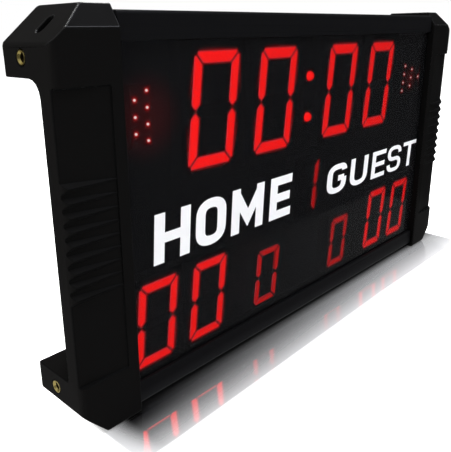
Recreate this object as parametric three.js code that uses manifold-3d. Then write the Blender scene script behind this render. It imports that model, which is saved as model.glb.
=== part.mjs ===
// An electronic scoreboard for a table or a wall: two moulded end caps with grips, two extruded
// rails, a smoked front panel, and seven-segment digits on a board behind it.
// Millimetres. The origin is on the floor, at mid width and mid depth. The front faces -Y.

import * as THREE from 'three';
import { mergeVertices } from 'three/addons/utils/BufferGeometryUtils.js';
import Module from 'manifold-3d';

const wasm = await Module();
wasm.setup();

// Driving dimensions of the whole object
const overall = { width: 484, height: 253, depth: 49 };
const clearance = 0.3;
const overrun = 2;
const arcSteps = 4;
const roundSteps = 20;

// The end caps: a shell that the rails, the panel and the back slide into
const cap = {
  width: 43.5,
  wall: 3,
  rim: 3,
  topBevelRun: 24,
  topBevelRise: 20,
  footBevelRun: 17,
  footBevelRise: 18.5,
  bevelCornerRadius: 4,
  browDepth: 8,
  browHeight: 12.5,
  frontEdgeRadius: 5,
  innerEdgeRadius: 1,
  rearEdgeRadius: 1.5,
  footEdgeRadius: 2.2,
};

// The finger notch behind the grip bar, and the ribbed recess in front of it
const grip = {
  notchWidth: 26.4,
  barDepth: 14.2,
  upperEarHeight: 37.5,
  lowerEarHeight: 37.2,
  upperFillet: 10,
  lowerFillet: 2,
  recessWidth: 35,
  recessOuterDepth: 3.4,
  recessInnerDepth: 0.8,
  recessTopInset: 42,
  recessFootInset: 38,
  ribCount: 9,
  ribPitch: 8.1,
  ribCrestDrop: 0.3,
  ribCrestFlat: 0.6,
  ribRootDepth: 4.2,
  ribsRise: 127,
};

// The threaded inserts in the outer faces of the ears, and the strap slot in the top bevel
const insert = {
  radius: 4.25,
  boreRadius: 2.5,
  length: 12,
  mouthChamfer: 0.7,
  grooveDepth: 0.5,
  grooveWidth: 1.6,
  bossWall: 3.2,
  upperDrop: 26.9,
  lowerRise: 27.2,
  setback: 29.5,
};
const strapSlot = { length: 13, width: 6.2, depth: 7, setback: 22, alongShare: 0.48 };

// The rails: one section, extruded, upright at the foot and turned over at the top
const rail = { web: 3, lipDepth: 2.4, lipHeight: 16.2, ribHeight: 8, rib: 1.8, edgeRadius: 2.5 };

// The sheets that slide into the rails
const panel = { thickness: 3 };
const board = { thickness: 1.6 };
const back = { thickness: 2 };

// Seven-segment digits: the lit height and width, the stroke, and the case of each size
const slant = Math.tan(THREE.MathUtils.degToRad(6.5));
const digitSizes = {
  clock: { height: 76.2, width: 43.6, stroke: 7.6, corner: 3.4, caseWidth: 63, caseHeight: 90 },
  score: { height: 58.4, width: 33.8, stroke: 6, corner: 2.7, caseWidth: 47.8, caseHeight: 69.6 },
  small: { height: 45.7, width: 27, stroke: 4.7, corner: 2.1, caseWidth: 38, caseHeight: 56 },
};
const digitCase = { depth: 10, face: 1.5, wall: 1.5, plate: 1.2, setback: 11.3, segmentGap: 1.3 };

// The rows between the caps, from the left. What the modules leave free is shared out: a gap in
// front of each module, and gaps between the rows and the rails' ribs
const clockRow = [
  { name: 'clock_minute_tens', size: 'clock', gapShare: 0.3974 },
  { name: 'clock_minute_ones', size: 'clock', gapShare: 0.0366 },
  { name: 'colon_lamps', gapShare: 0.0721 },
  { name: 'clock_second_tens', size: 'clock', gapShare: 0.034 },
  { name: 'clock_second_ones', size: 'clock', gapShare: 0.0366 },
];
const scoreRow = [
  { name: 'home_score_tens', size: 'score', gapShare: 0.0131 },
  { name: 'home_score_ones', size: 'score', gapShare: 0.0131 },
  { name: 'home_fouls', size: 'small', gapShare: 0.2057 },
  { name: 'guest_fouls', size: 'small', gapShare: 0.5362 },
  { name: 'guest_score_tens', size: 'score', gapShare: 0.2111 },
  { name: 'guest_score_ones', size: 'score', gapShare: 0.0131 },
];
const periodAcross = -0.4;
const riseShares = { aboveClock: 0.0926, underScore: 0.0401, underSmall: 0.0586, overPeriod: 0.0787 };

// Domed lamps on the same board: the clock's colon and the two arrows. The arrows' small domes
// stand further forward, close behind the panel. An arrow's columns share the space beside the clock
const lampMargin = 2.2;
const colonLamps = { radius: 4, forward: 0, columns: [2], spanShares: [0.5, 0.5], rowPitch: 33,
  lean: 0.045, raise: -2.1 };
const homeArrow = { radius: 1.5, forward: 1.8, columns: [3, 4], spanShares: [0.2586, 0.4691], rowPitch: 10,
  lean: 0, raise: 2.3 };
const guestArrow = { radius: 1.5, forward: 1.8, columns: [4, 3, 1], spanShares: [0.327, 0.9979], rowPitch: 8.1,
  lean: 0.13, raise: 1.8 };

// What the back carries. A place on it is a share of its width from the middle, and a share of its
// height from the floor; what stands on it takes a share of the bay between it and the display board
const rocker = {
  acrossShare: -0.31, riseShare: 0.237, radius: 8.2, width: 9.5, endAngle: 20, tilt: 10, hubWidth: 5,
  hubDrop: 4.5, pinRadius: 1.2, pinLength: 0.8, pivotDrop: 3,
};
const switchBody = { wall: 1.3, bayShare: 0.618, floor: 5.2, bezel: 1.8, bezelMargin: 1.4 };
const jack = {
  acrossShare: -0.2315, riseShare: 0.237, bodyRadius: 6, bayShare: 0.562, barrelRadius: 3.9,
  barrelReach: 3, boreRadius: 2.75, boreDepth: 9, pinRadius: 1, pinDrop: 1, nutRadius: 6.4, nutHeight: 2,
};
const keyhole = { acrossShare: 0.248, riseShare: 0.81, headRadius: 5, neckWidth: 5, neckLength: 10 };
const vent = { count: 9, pitch: 8, width: 3, length: 34, riseShare: 0.79 };
const sounder = {
  acrossShare: 0.31, riseShare: 0.237, radius: 15, bayShare: 0.506, holeRadius: 1.4, holeRing: 6,
  holes: 6, collar: 1.6, collarBayShare: 0.281,
};
const post = { radius: 3.5, bayShare: 0.281, inset: 6 };
const controller = { acrossShare: 0.062, riseShare: 0.356, width: 90, height: 60, thickness: 1.6 };
const controllerParts = {
  leadHeader: { xShare: 0, zShare: -0.36, widthShare: 0.42, heightShare: 0.12, bayShare: 0.337 },
  ribbonHeader: { xShare: 0.05, zShare: -0.08, widthShare: 0.42, heightShare: 0.12, bayShare: 0.225 },
  processor: { xShare: -0.2, zShare: 0.2, widthShare: 0.22, heightShare: 0.33, bayShare: 0.124 },
  driver: { xShare: 0.28, zShare: 0.22, widthShare: 0.14, heightShare: 0.2, bayShare: 0.101 },
};
const supply = { acrossShare: -0.2686, riseShare: 0.443, width: 60, height: 46, thickness: 1.6 };
const supplyParts = {
  terminals: { xShare: 0.1, zShare: -0.34, widthShare: 0.4, heightShare: 0.14, bayShare: 0.337 },
  coil: { xShare: -0.18, zShare: 0.1, widthShare: 0.3, heightShare: 0.4, bayShare: 0.449 },
  capacitor: { xShare: 0.22, zShare: 0.16, widthShare: 0.18, heightShare: 0.24, bayShare: 0.393 },
};
const ribbon = { thickness: 0.9, plugBayShare: 0.124, socketBayShare: 0.14, climb: 27, margin: 1.5 };
const lead = {
  radius: 1.3, steps: 14, sides: 8, forwardBayShare: 0.337, upReach: 14, sideReach: 42, spacing: 12,
};

// Places that follow from the driving dimensions
const frontY = -overall.depth / 2;
const rearY = overall.depth / 2;
const outerX = -overall.width / 2;
const capInnerX = outerX + cap.width;
const bodyInset = cap.wall + clearance;
const railFrontY = frontY + bodyInset;
const railRearY = rearY - bodyInset;
const socketX = outerX + grip.notchWidth + cap.wall;
const railEndX = socketX + clearance;
const panelFrontY = railFrontY + rail.lipDepth + clearance;
const panelRearY = panelFrontY + panel.thickness;
const caseFrontY = frontY + digitCase.setback;
const caseRearY = caseFrontY + digitCase.depth;
const boardFrontY = caseRearY + clearance;
const boardRearY = boardFrontY + board.thickness;
const backRearY = railRearY - rail.lipDepth - clearance;
const backFrontY = backRearY - back.thickness;
const webRise = bodyInset + rail.web;
const lipRise = bodyInset + rail.lipHeight;
const ribRise = webRise + rail.ribHeight;
const sheetRise = webRise + clearance;
const bayDepth = backFrontY - boardRearY;
const acrossOf = ({ acrossShare }) => overall.width * acrossShare;
const riseOf = ({ riseShare }) => overall.height * riseShare;
const [rockerX, rockerZ] = [acrossOf(rocker), riseOf(rocker)];
const [jackX, jackZ] = [acrossOf(jack), riseOf(jack)];
const [sounderX, sounderZ] = [acrossOf(sounder), riseOf(sounder)];

// Finishes
const finish = (color, roughness, metalness = 0) =>
  new THREE.MeshStandardMaterial({ color, roughness, metalness });
const mouldedBlack = finish('#17181a', 0.5);
const railBlack = finish('#1c1d20', 0.38, 0.2);
const smokedAcrylic = finish('#0d0e0f', 0.06);
const brass = finish('#c69a3f', 0.28, 1);
const backBlack = finish('#1b1c1d', 0.55);
const caseBlack = finish('#111213', 0.6);
const segmentRed = finish('#ff1a12', 0.4);
const lampRed = finish('#ff3a30', 0.2);
const boardGreen = finish('#1f5a35', 0.5);
const boardBlack = finish('#0e0f0f', 0.5);
const partBlack = finish('#202124', 0.45);
const ribbonGrey = finish('#8b8f94', 0.6);
const leadBlack = finish('#151617', 0.55);
const steel = finish('#b9bcc0', 0.3, 1);

// A closed three.js geometry becomes a solid that can be joined and cut
function solid(geometry) {
  geometry.deleteAttribute('normal');
  geometry.deleteAttribute('uv');
  const merged = mergeVertices(geometry);
  const kept = [];
  const index = merged.index.array;
  for (let at = 0; at < index.length; at += 3) {
    const [a, b, c] = [index[at], index[at + 1], index[at + 2]];
    if (a !== b && b !== c && c !== a) kept.push(a, b, c);
  }
  return new wasm.Manifold(new wasm.Mesh({
    numProp: 3,
    vertProperties: new Float32Array(merged.attributes.position.array),
    triVerts: new Uint32Array(kept),
  }));
}

// A finished solid becomes a named mesh
function meshOf(name, body, material) {
  const { vertProperties, triVerts } = body.getMesh();
  const geometry = new THREE.BufferGeometry();
  geometry.setAttribute('position', new THREE.BufferAttribute(new Float32Array(vertProperties), 3));
  geometry.setIndex(new THREE.BufferAttribute(new Uint32Array(triVerts), 1));
  geometry.computeVertexNormals();
  const mesh = new THREE.Mesh(geometry, material);
  mesh.name = name;
  return mesh;
}

function joined(bodies) {
  return bodies.reduce((whole, body) => whole.add(body));
}

function mirrored(body) {
  const { vertProperties, triVerts } = body.getMesh();
  const flipped = vertProperties.map((value, at) => (at % 3 === 0 ? -value : value));
  const order = triVerts.map((vertex, at) => triVerts[at % 3 === 2 ? at : at + 1 - 2 * (at % 3)]);
  return new wasm.Manifold(new wasm.Mesh({ numProp: 3, vertProperties: flipped, triVerts: order }));
}

// An outline of [a, b, radius] corners, where each corner that has a radius turns into an arc
function rounded(corners) {
  return corners.flatMap(([a, b, radius = 0], index) => {
    const corner = new THREE.Vector2(a, b);
    if (radius === 0) return [corner];
    const [beforeA, beforeB] = corners.at(index - 1);
    const [afterA, afterB] = corners[(index + 1) % corners.length];
    const toBefore = new THREE.Vector2(beforeA, beforeB).sub(corner).normalize();
    const toAfter = new THREE.Vector2(afterA, afterB).sub(corner).normalize();
    const half = toBefore.angleTo(toAfter) / 2;
    const bisector = toBefore.clone().add(toAfter).normalize();
    const centre = corner.clone().addScaledVector(bisector, radius / Math.sin(half));
    const tangent = radius / Math.tan(half);
    const start = corner.clone().addScaledVector(toBefore, tangent).sub(centre);
    const sweep = Math.sign(toAfter.cross(toBefore)) * (Math.PI - 2 * half);
    return Array.from({ length: arcSteps + 1 }, (_, step) =>
      start.clone().rotateAround(new THREE.Vector2(), sweep * step / arcSteps).add(centre));
  });
}

// An outline drawn out along an axis: (x, y) along z, (x, z) along y, or (y, z) along x
function prism(axis, points, from, to) {
  const shape = new THREE.Shape(points.map(([a, b]) => new THREE.Vector2(a, b)));
  const geometry = new THREE.ExtrudeGeometry(shape, { depth: to - from, bevelEnabled: false });
  if (axis === 'z') geometry.translate(0, 0, from);
  if (axis === 'y') geometry.rotateX(Math.PI / 2).translate(0, to, 0);
  if (axis === 'x') {
    const turn = new THREE.Matrix4().makeBasis(
      new THREE.Vector3(0, 1, 0), new THREE.Vector3(0, 0, 1), new THREE.Vector3(1, 0, 0));
    geometry.applyMatrix4(turn).translate(from, 0, 0);
  }
  return solid(geometry);
}

function block([x0, x1], [y0, y1], [z0, z1]) {
  const geometry = new THREE.BoxGeometry(x1 - x0, y1 - y0, z1 - z0);
  geometry.translate((x0 + x1) / 2, (y0 + y1) / 2, (z0 + z1) / 2);
  return solid(geometry);
}

const around = (centre, length) => [centre - length / 2, centre + length / 2];

// A round body along an axis, from a profile of [radius, along] points
function turned(axis, profile, centre, steps = roundSteps) {
  const points = profile.map(([radius, along]) => new THREE.Vector2(radius, along));
  const geometry = new THREE.LatheGeometry(points, steps);
  if (axis === 'x') geometry.rotateZ(-Math.PI / 2);
  if (axis === 'z') geometry.rotateX(Math.PI / 2);
  geometry.translate(...centre);
  return solid(geometry);
}

function rod(axis, radius, from, to, centre, steps = roundSteps) {
  return turned(axis, [[0, from], [radius, from], [radius, to], [0, to]], centre, steps);
}

// The outer form of a cap is what its front, side and plan outlines have in common
function capForm() {
  const front = rounded([
    [outerX, cap.footBevelRise, cap.bevelCornerRadius],
    [outerX + cap.footBevelRun, 0, cap.bevelCornerRadius],
    [capInnerX, 0],
    [capInnerX, overall.height],
    [outerX + cap.topBevelRun, overall.height, cap.bevelCornerRadius],
    [outerX, overall.height - cap.topBevelRise, cap.bevelCornerRadius],
  ]);
  const side = rounded([
    [frontY, 0, cap.footEdgeRadius],
    [rearY, 0, cap.rearEdgeRadius],
    [rearY, overall.height, cap.rearEdgeRadius],
    [frontY + cap.browDepth, overall.height],
    [frontY, overall.height - cap.browHeight],
  ]);
  const plan = rounded([
    [outerX, frontY, cap.frontEdgeRadius],
    [capInnerX, frontY, cap.innerEdgeRadius],
    [capInnerX, rearY],
    [outerX, rearY, cap.rearEdgeRadius],
  ]);
  return prism('y', front, frontY, rearY)
    .intersect(prism('x', side, outerX, capInnerX))
    .intersect(prism('z', plan, 0, overall.height));
}

function fingerNotch() {
  const barY = frontY + grip.barDepth;
  const outline = rounded([
    [barY, grip.lowerEarHeight, grip.lowerFillet],
    [rearY + overrun, grip.lowerEarHeight],
    [rearY + overrun, overall.height - grip.upperEarHeight],
    [barY, overall.height - grip.upperEarHeight, grip.upperFillet],
  ]);
  return prism('x', outline, outerX - overrun, outerX + grip.notchWidth);
}

// The recess is deepest at the outer edge, and the ribs in it stand up to the front face
function gripRecess() {
  const slope = (grip.recessOuterDepth - grip.recessInnerDepth) / grip.recessWidth;
  const wedge = prism('z', [
    [outerX - overrun, frontY - overrun],
    [outerX + grip.recessWidth, frontY - overrun],
    [outerX + grip.recessWidth, frontY + grip.recessInnerDepth],
    [outerX - overrun, frontY + grip.recessOuterDepth + slope * overrun],
  ], grip.recessFootInset, overall.height - grip.recessTopInset);
  const crestY = frontY + grip.ribCrestDrop;
  const rootY = frontY + grip.ribRootDepth;
  const halfSpan = grip.ribPitch * grip.ribCount / 2;
  const teeth = Array.from({ length: grip.ribCount }, (_, index) => {
    const rise = grip.ribsRise - halfSpan + grip.ribPitch * (index + 1 / 2);
    const [below, above] = around(rise, grip.ribCrestFlat);
    return [[crestY, below], [crestY, above], [rootY, rise + grip.ribPitch / 2]];
  }).flat();
  const ribs = prism('x', [
    [rootY + overrun, grip.ribsRise - halfSpan],
    [rootY, grip.ribsRise - halfSpan],
    ...teeth,
    [rootY + overrun, grip.ribsRise + halfSpan],
  ], outerX - 2 * overrun, outerX + grip.recessWidth + overrun);
  return wedge.subtract(ribs);
}

// Everything in front of a plane that runs at some distance behind the brow
function browWedge(distance, fromX, toX) {
  const slope = Math.hypot(cap.browDepth, cap.browHeight) / cap.browHeight;
  const run = cap.browDepth / cap.browHeight;
  const footY = frontY + distance * slope;
  const under = overrun + cap.browHeight;
  return prism('x', [
    [footY - run * under, overall.height - cap.browHeight - under],
    [footY + run * under, overall.height - cap.browHeight + under],
    [footY - run * under, overall.height - cap.browHeight + under],
  ], fromX, toX);
}

// The socket takes the ends of the rails and sheets, and a rim closes the front and the rear of it
function capSocket() {
  const whole = block(
    [socketX, capInnerX + overrun],
    [frontY + cap.wall, rearY - cap.wall],
    [cap.wall, overall.height - cap.wall],
  ).subtract(browWedge(cap.wall, socketX - overrun, capInnerX + 2 * overrun));
  const rimHeight = [lipRise + clearance, overall.height - lipRise - clearance];
  const rimWidth = [capInnerX - cap.rim, capInnerX + 2 * overrun];
  const frontRim = block(rimWidth, [frontY, panelFrontY - clearance], rimHeight);
  const rearRim = block(rimWidth, [backRearY + clearance, rearY], rimHeight);
  return whole.subtract(frontRim).subtract(rearRim);
}

// An ear is cored out from the socket, round the boss of its insert
function earCore(upper) {
  const run = upper ? cap.topBevelRun : cap.footBevelRun;
  const rise = upper ? cap.topBevelRise : cap.footBevelRise;
  const earHeight = upper ? grip.upperEarHeight : grip.lowerEarHeight;
  const front = upper ? cap.browDepth : cap.frontEdgeRadius;
  const outline = [
    [outerX + cap.wall, rise + cap.wall / 2],
    [outerX + run + cap.wall / 2, cap.wall],
    [socketX + overrun, cap.wall],
    [socketX + overrun, earHeight - cap.wall],
    [outerX + cap.wall, earHeight - cap.wall],
  ].map(([x, z]) => [x, upper ? overall.height - z : z]);
  return prism('y', outline, frontY + front + cap.wall / 2, rearY - cap.wall);
}

// The slot is cut square to the top bevel
function strapSlotCut() {
  const radius = strapSlot.width / 2;
  const half = strapSlot.length / 2;
  const shape = new THREE.Shape(rounded([
    [-half, -radius, radius], [half, -radius, radius], [half, radius, radius], [-half, radius, radius],
  ]));
  const depth = strapSlot.depth + overrun;
  const geometry = new THREE.ExtrudeGeometry(shape, { depth, bevelEnabled: false });
  geometry.translate(0, 0, -strapSlot.depth);
  geometry.rotateY(-Math.atan2(cap.topBevelRise, cap.topBevelRun));
  geometry.translate(
    outerX + cap.topBevelRun * strapSlot.alongShare,
    frontY + strapSlot.setback,
    overall.height - cap.topBevelRise * (1 - strapSlot.alongShare));
  return solid(geometry);
}

const insertY = frontY + insert.setback;
const insertPlaces = {
  upper: [outerX, insertY, overall.height - insert.upperDrop],
  lower: [outerX, insertY, insert.lowerRise],
};

function capSolid() {
  const bossRadius = insert.radius + clearance + insert.bossWall;
  const holeDepth = insert.length + clearance;
  let body = capForm().subtract(fingerNotch()).subtract(gripRecess()).subtract(capSocket());
  Object.entries(insertPlaces).forEach(([ear, place]) => {
    const boss = rod('x', bossRadius, 0, holeDepth + cap.wall, place);
    const hole = rod('x', insert.radius + clearance, -overrun, holeDepth, place);
    body = body.subtract(earCore(ear === 'upper').subtract(boss)).subtract(hole);
  });
  return body.subtract(strapSlotCut());
}

// A threaded insert with a grooved waist, set flush with the ear
function insertSolid(place) {
  const waist = insert.radius - insert.grooveDepth;
  const [grooveFrom, grooveTo] = around(insert.length / 2, insert.grooveWidth);
  return turned('x', [
    [insert.boreRadius, insert.mouthChamfer],
    [insert.boreRadius + insert.mouthChamfer, 0],
    [insert.radius, 0],
    [insert.radius, grooveFrom],
    [waist, grooveFrom],
    [waist, grooveTo],
    [insert.radius, grooveTo],
    [insert.radius, insert.length],
    [insert.boreRadius, insert.length],
    [insert.boreRadius, insert.mouthChamfer],
  ], place);
}

// What runs into a cap has its ends cut to clear the wall under the brow
function clearOfBrow(body) {
  const cut = browWedge(bodyInset, railEndX - overrun, capInnerX + clearance);
  return body.subtract(cut).subtract(mirrored(cut));
}

// The rail's section: a web with a front lip, a rear lip, and ribs that hold the three sheets
function railSolid(atTop) {
  const rib = (from, to) => [[from, webRise], [from, ribRise], [to, ribRise], [to, webRise]];
  const section = rounded([
    [railFrontY, bodyInset, rail.edgeRadius],
    [railRearY, bodyInset, rail.edgeRadius],
    [railRearY, lipRise],
    [railRearY - rail.lipDepth, lipRise],
    [railRearY - rail.lipDepth, webRise],
    ...rib(backFrontY - clearance, backFrontY - clearance - rail.rib),
    ...rib(boardRearY + clearance + rail.rib, boardRearY + clearance),
    ...rib(boardFrontY - clearance, boardFrontY - clearance - rail.rib),
    ...rib(panelRearY + clearance + rail.rib, panelRearY + clearance),
    [railFrontY + rail.lipDepth, webRise],
    [railFrontY + rail.lipDepth, lipRise],
    [railFrontY, lipRise],
  ]).map(({ x, y }) => [x, atTop ? overall.height - y : y]);
  return clearOfBrow(prism('x', section, railEndX, -railEndX));
}

function sheet(fromY, toY) {
  return block([railEndX, -railEndX], [fromY, toY], [sheetRise, overall.height - sheetRise]);
}

// The seven segments of a digit as outlines round its centre: a lit one is a lens in the case's face
function segmentOutlines({ height, width, stroke, corner }) {
  const gap = digitCase.segmentGap / Math.SQRT2;
  const [half, mid] = [width / 2, height / 2];
  const level = [
    [-half + corner, mid], [half - corner, mid], [half - corner / 2 - gap, mid - corner / 2],
    [half - stroke - gap, mid - stroke], [-half + stroke + gap, mid - stroke],
    [-half + corner / 2 + gap, mid - corner / 2],
  ];
  const upright = [
    [half, mid - corner], [half, stroke / 2 + gap], [half - stroke / 2, gap],
    [half - stroke, stroke / 2 + gap], [half - stroke, mid - stroke - gap],
    [half - corner / 2, mid - corner / 2 - gap],
  ];
  const cross = [
    [-half + stroke / 2 + gap, 0], [-half + stroke + gap, stroke / 2], [half - stroke - gap, stroke / 2],
    [half - stroke / 2 - gap, 0], [half - stroke - gap, -stroke / 2], [-half + stroke + gap, -stroke / 2],
  ];
  const flip = (outline, a, b) => outline.map(([x, z]) => [x * a, z * b]);
  return [
    level, flip(level, 1, -1), cross,
    upright, flip(upright, -1, 1), flip(upright, 1, -1), flip(upright, -1, -1),
  ].map((outline) => outline.map(([x, z]) => [x + z * slant, z]));
}

// A convex outline with every side moved outwards
function widened(outline, distance) {
  const points = outline.map(([x, z]) => new THREE.Vector2(x, z));
  if (THREE.ShapeUtils.isClockWise(points)) points.reverse();
  return points.map((point, index) => {
    const into = point.clone().sub(points.at(index - 1)).normalize();
    const out = points[(index + 1) % points.length].clone().sub(point).normalize();
    const normal = new THREE.Vector2(into.y + out.y, -into.x - out.x);
    return point.clone().addScaledVector(normal, distance / (1 + into.dot(out)));
  });
}

// Where the modules of a row stand between the caps
function rowPlaces(row, rises) {
  const colonWidth = 2 * (colonLamps.radius + lampMargin) + colonLamps.rowPitch * colonLamps.lean;
  const widths = row.map(({ size }) => (size ? digitSizes[size].caseWidth : colonWidth));
  const spare = -2 * capInnerX - widths.reduce((sum, width) => sum + width);
  let edge = capInnerX;
  return row.map(({ name, size, gapShare }, index) => {
    edge += gapShare * spare + widths[index];
    const span = [edge - widths[index], edge];
    return { name, size, span, across: (span[0] + span[1]) / 2, rise: rises[size] };
  });
}

const { clock: clockForm, score: scoreForm, small: smallForm } = digitSizes;
const spareRise = overall.height - 2 * ribRise - clockForm.caseHeight - scoreForm.caseHeight;
const rowRises = {
  clock: overall.height - ribRise - spareRise * riseShares.aboveClock - clockForm.caseHeight / 2,
  score: ribRise + spareRise * riseShares.underScore + scoreForm.caseHeight / 2,
  small: ribRise + spareRise * riseShares.underSmall + smallForm.caseHeight / 2,
};
const periodRise = rowRises.clock - spareRise * riseShares.overPeriod
  - (clockForm.caseHeight + smallForm.caseHeight) / 2;
const clockPlaces = rowPlaces(clockRow, rowRises);
const digits = [
  ...clockPlaces.filter(({ size }) => size),
  ...rowPlaces(scoreRow, rowRises),
  { name: 'period', size: 'small', across: periodAcross, rise: periodRise },
];

function digitSolids({ size, across, rise }) {
  const form = digitSizes[size];
  const outlines = segmentOutlines(form);
  const place = (points) => points.map(([x, z]) => [across + x, rise + z]);
  const plateFromY = caseFrontY + digitCase.face + clearance;
  const inside = 2 * digitCase.wall;
  const loose = inside + 2 * clearance;
  const shell = block(around(across, form.caseWidth), [caseFrontY, caseRearY], around(rise, form.caseHeight))
    .subtract(block(
      around(across, form.caseWidth - inside),
      [caseFrontY + digitCase.face, caseRearY + overrun],
      around(rise, form.caseHeight - inside)));
  const windows = outlines.map((outline) =>
    prism('y', place(widened(outline, clearance)), caseFrontY - overrun, plateFromY));
  const plate = block(
    around(across, form.caseWidth - loose),
    [plateFromY, plateFromY + digitCase.plate],
    around(rise, form.caseHeight - loose));
  const lenses = outlines.map((outline) =>
    prism('y', place(outline), caseFrontY, plateFromY + digitCase.plate / 2));
  return { shell: shell.subtract(joined(windows)), lens: plate.add(joined(lenses)) };
}

// A bar of domed lamps, in columns of evenly spaced rows, within a span beside the clock's digits
function lampSolid({ radius, forward, columns, spanShares, rowPitch, lean, raise }, [from, to]) {
  const baseFrontY = caseFrontY - forward + radius;
  const inset = radius + lampMargin;
  const places = columns.flatMap((rows, column) => Array.from({ length: rows }, (_, row) => {
    const up = (row - (rows - 1) / 2) * rowPitch;
    const along = THREE.MathUtils.lerp(...spanShares, column / Math.max(columns.length - 1, 1));
    const across = THREE.MathUtils.lerp(from + inset, to - inset, along);
    return { x: across + up * lean, z: rowRises.clock + raise + up };
  }));
  const reach = (key) => [
    Math.min(...places.map((place) => place[key])) - inset,
    Math.max(...places.map((place) => place[key])) + inset,
  ];
  const dome = Array.from({ length: arcSteps + 1 }, (_, step) => {
    const angle = Math.PI / 2 * step / arcSteps;
    return [radius * Math.sin(angle), -radius * Math.cos(angle)];
  });
  const profile = [...dome, [radius, radius], [0, radius]];
  const domes = places.map(({ x, z }) =>
    turned('y', profile, [x, baseFrontY, z], roundSteps / 2));
  return block(reach('x'), [baseFrontY, caseRearY], reach('z')).add(joined(domes));
}

// The rocker's profile round its pivot: two flat faces that meet in a shallow valley, and round ends
function rockerOutline() {
  const end = THREE.MathUtils.degToRad(rocker.endAngle);
  const lift = Math.tan(THREE.MathUtils.degToRad(rocker.tilt));
  const arc = (from, to) => Array.from({ length: arcSteps + 1 }, (_, step) => {
    const angle = from + (to - from) * step / arcSteps;
    return [rocker.radius * Math.sin(angle), rocker.radius * Math.cos(angle)];
  });
  const valley = rocker.radius * (Math.sin(end) - Math.cos(end) * lift);
  return [
    [valley, 0],
    ...arc(end, -end),
    [-rocker.hubDrop, rocker.hubWidth / 2],
    [-rocker.hubDrop, -rocker.hubWidth / 2],
    ...arc(Math.PI + end, Math.PI - end),
  ];
}

const bezelRearY = backRearY + clearance + switchBody.bezel;
const rockerPivotY = bezelRearY - rocker.pivotDrop;
const switchFrontY = backFrontY - bayDepth * switchBody.bayShare;
const jackFrontY = backFrontY - clearance - bayDepth * jack.bayShare;
const postFrontY = backFrontY - bayDepth * post.bayShare;
const sounderFrontY = backFrontY - clearance - bayDepth * sounder.bayShare;

function rockerSolid() {
  const tilt = THREE.MathUtils.degToRad(rocker.tilt);
  const outline = rockerOutline().map(([out, up]) => [
    rockerPivotY + out * Math.cos(tilt) - up * Math.sin(tilt),
    rockerZ + out * Math.sin(tilt) + up * Math.cos(tilt),
  ]);
  const [from, to] = around(rockerX, rocker.width);
  const pivot = [0, rockerPivotY, rockerZ];
  return prism('x', outline, from, to)
    .add(rod('x', rocker.pinRadius, from - rocker.pinLength, to + rocker.pinLength, pivot));
}

const switchHollow = {
  width: rocker.width + 2 * clearance,
  height: 2 * (rocker.radius + clearance),
};

function switchSolid() {
  const width = switchHollow.width + 2 * switchBody.wall;
  const height = switchHollow.height + 2 * switchBody.wall;
  const barrel = block(around(rockerX, width), [switchFrontY, bezelRearY], around(rockerZ, height));
  const flange = 2 * (switchBody.bezelMargin + clearance);
  const bezel = block(
    around(rockerX, width + flange),
    [backRearY + clearance, bezelRearY],
    around(rockerZ, height + flange));
  const hollow = block(
    around(rockerX, switchHollow.width),
    [rockerPivotY - switchBody.floor, bezelRearY + overrun],
    around(rockerZ, switchHollow.height));
  const pinReach = switchHollow.width + 2 * (rocker.pinLength + clearance / 2);
  const [pinFrom, pinTo] = around(rockerX, pinReach);
  const pins = rod('x', rocker.pinRadius + clearance, pinFrom, pinTo, [0, rockerPivotY, rockerZ]);
  return barrel.add(bezel).subtract(hollow).subtract(pins);
}

function switchCutout() {
  const grown = 2 * (switchBody.wall + clearance);
  return block(
    around(rockerX, switchHollow.width + grown),
    [backFrontY - overrun, backRearY + overrun],
    around(rockerZ, switchHollow.height + grown));
}

// The power inlet: a body inside the back, a barrel through it, and a centre pin
function jackSolid() {
  const inside = back.thickness + clearance;
  const bore = jack.barrelReach - jack.boreDepth;
  const front = jackFrontY - backRearY;
  return turned('y', [
    [0, front],
    [jack.bodyRadius, front],
    [jack.bodyRadius, -inside],
    [jack.barrelRadius, -inside],
    [jack.barrelRadius, jack.barrelReach],
    [jack.boreRadius, jack.barrelReach],
    [jack.boreRadius, bore],
    [jack.pinRadius, bore],
    [jack.pinRadius, jack.barrelReach - jack.pinDrop],
    [0, jack.barrelReach - jack.pinDrop],
  ], [jackX, backRearY, jackZ]);
}

function jackNutSolid() {
  const place = [jackX, backRearY, jackZ];
  const hexagon = rod('y', jack.nutRadius, clearance, clearance + jack.nutHeight, place, 6);
  return hexagon.subtract(rod('y', jack.barrelRadius + clearance, -overrun, 2 * overrun, place));
}

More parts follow.
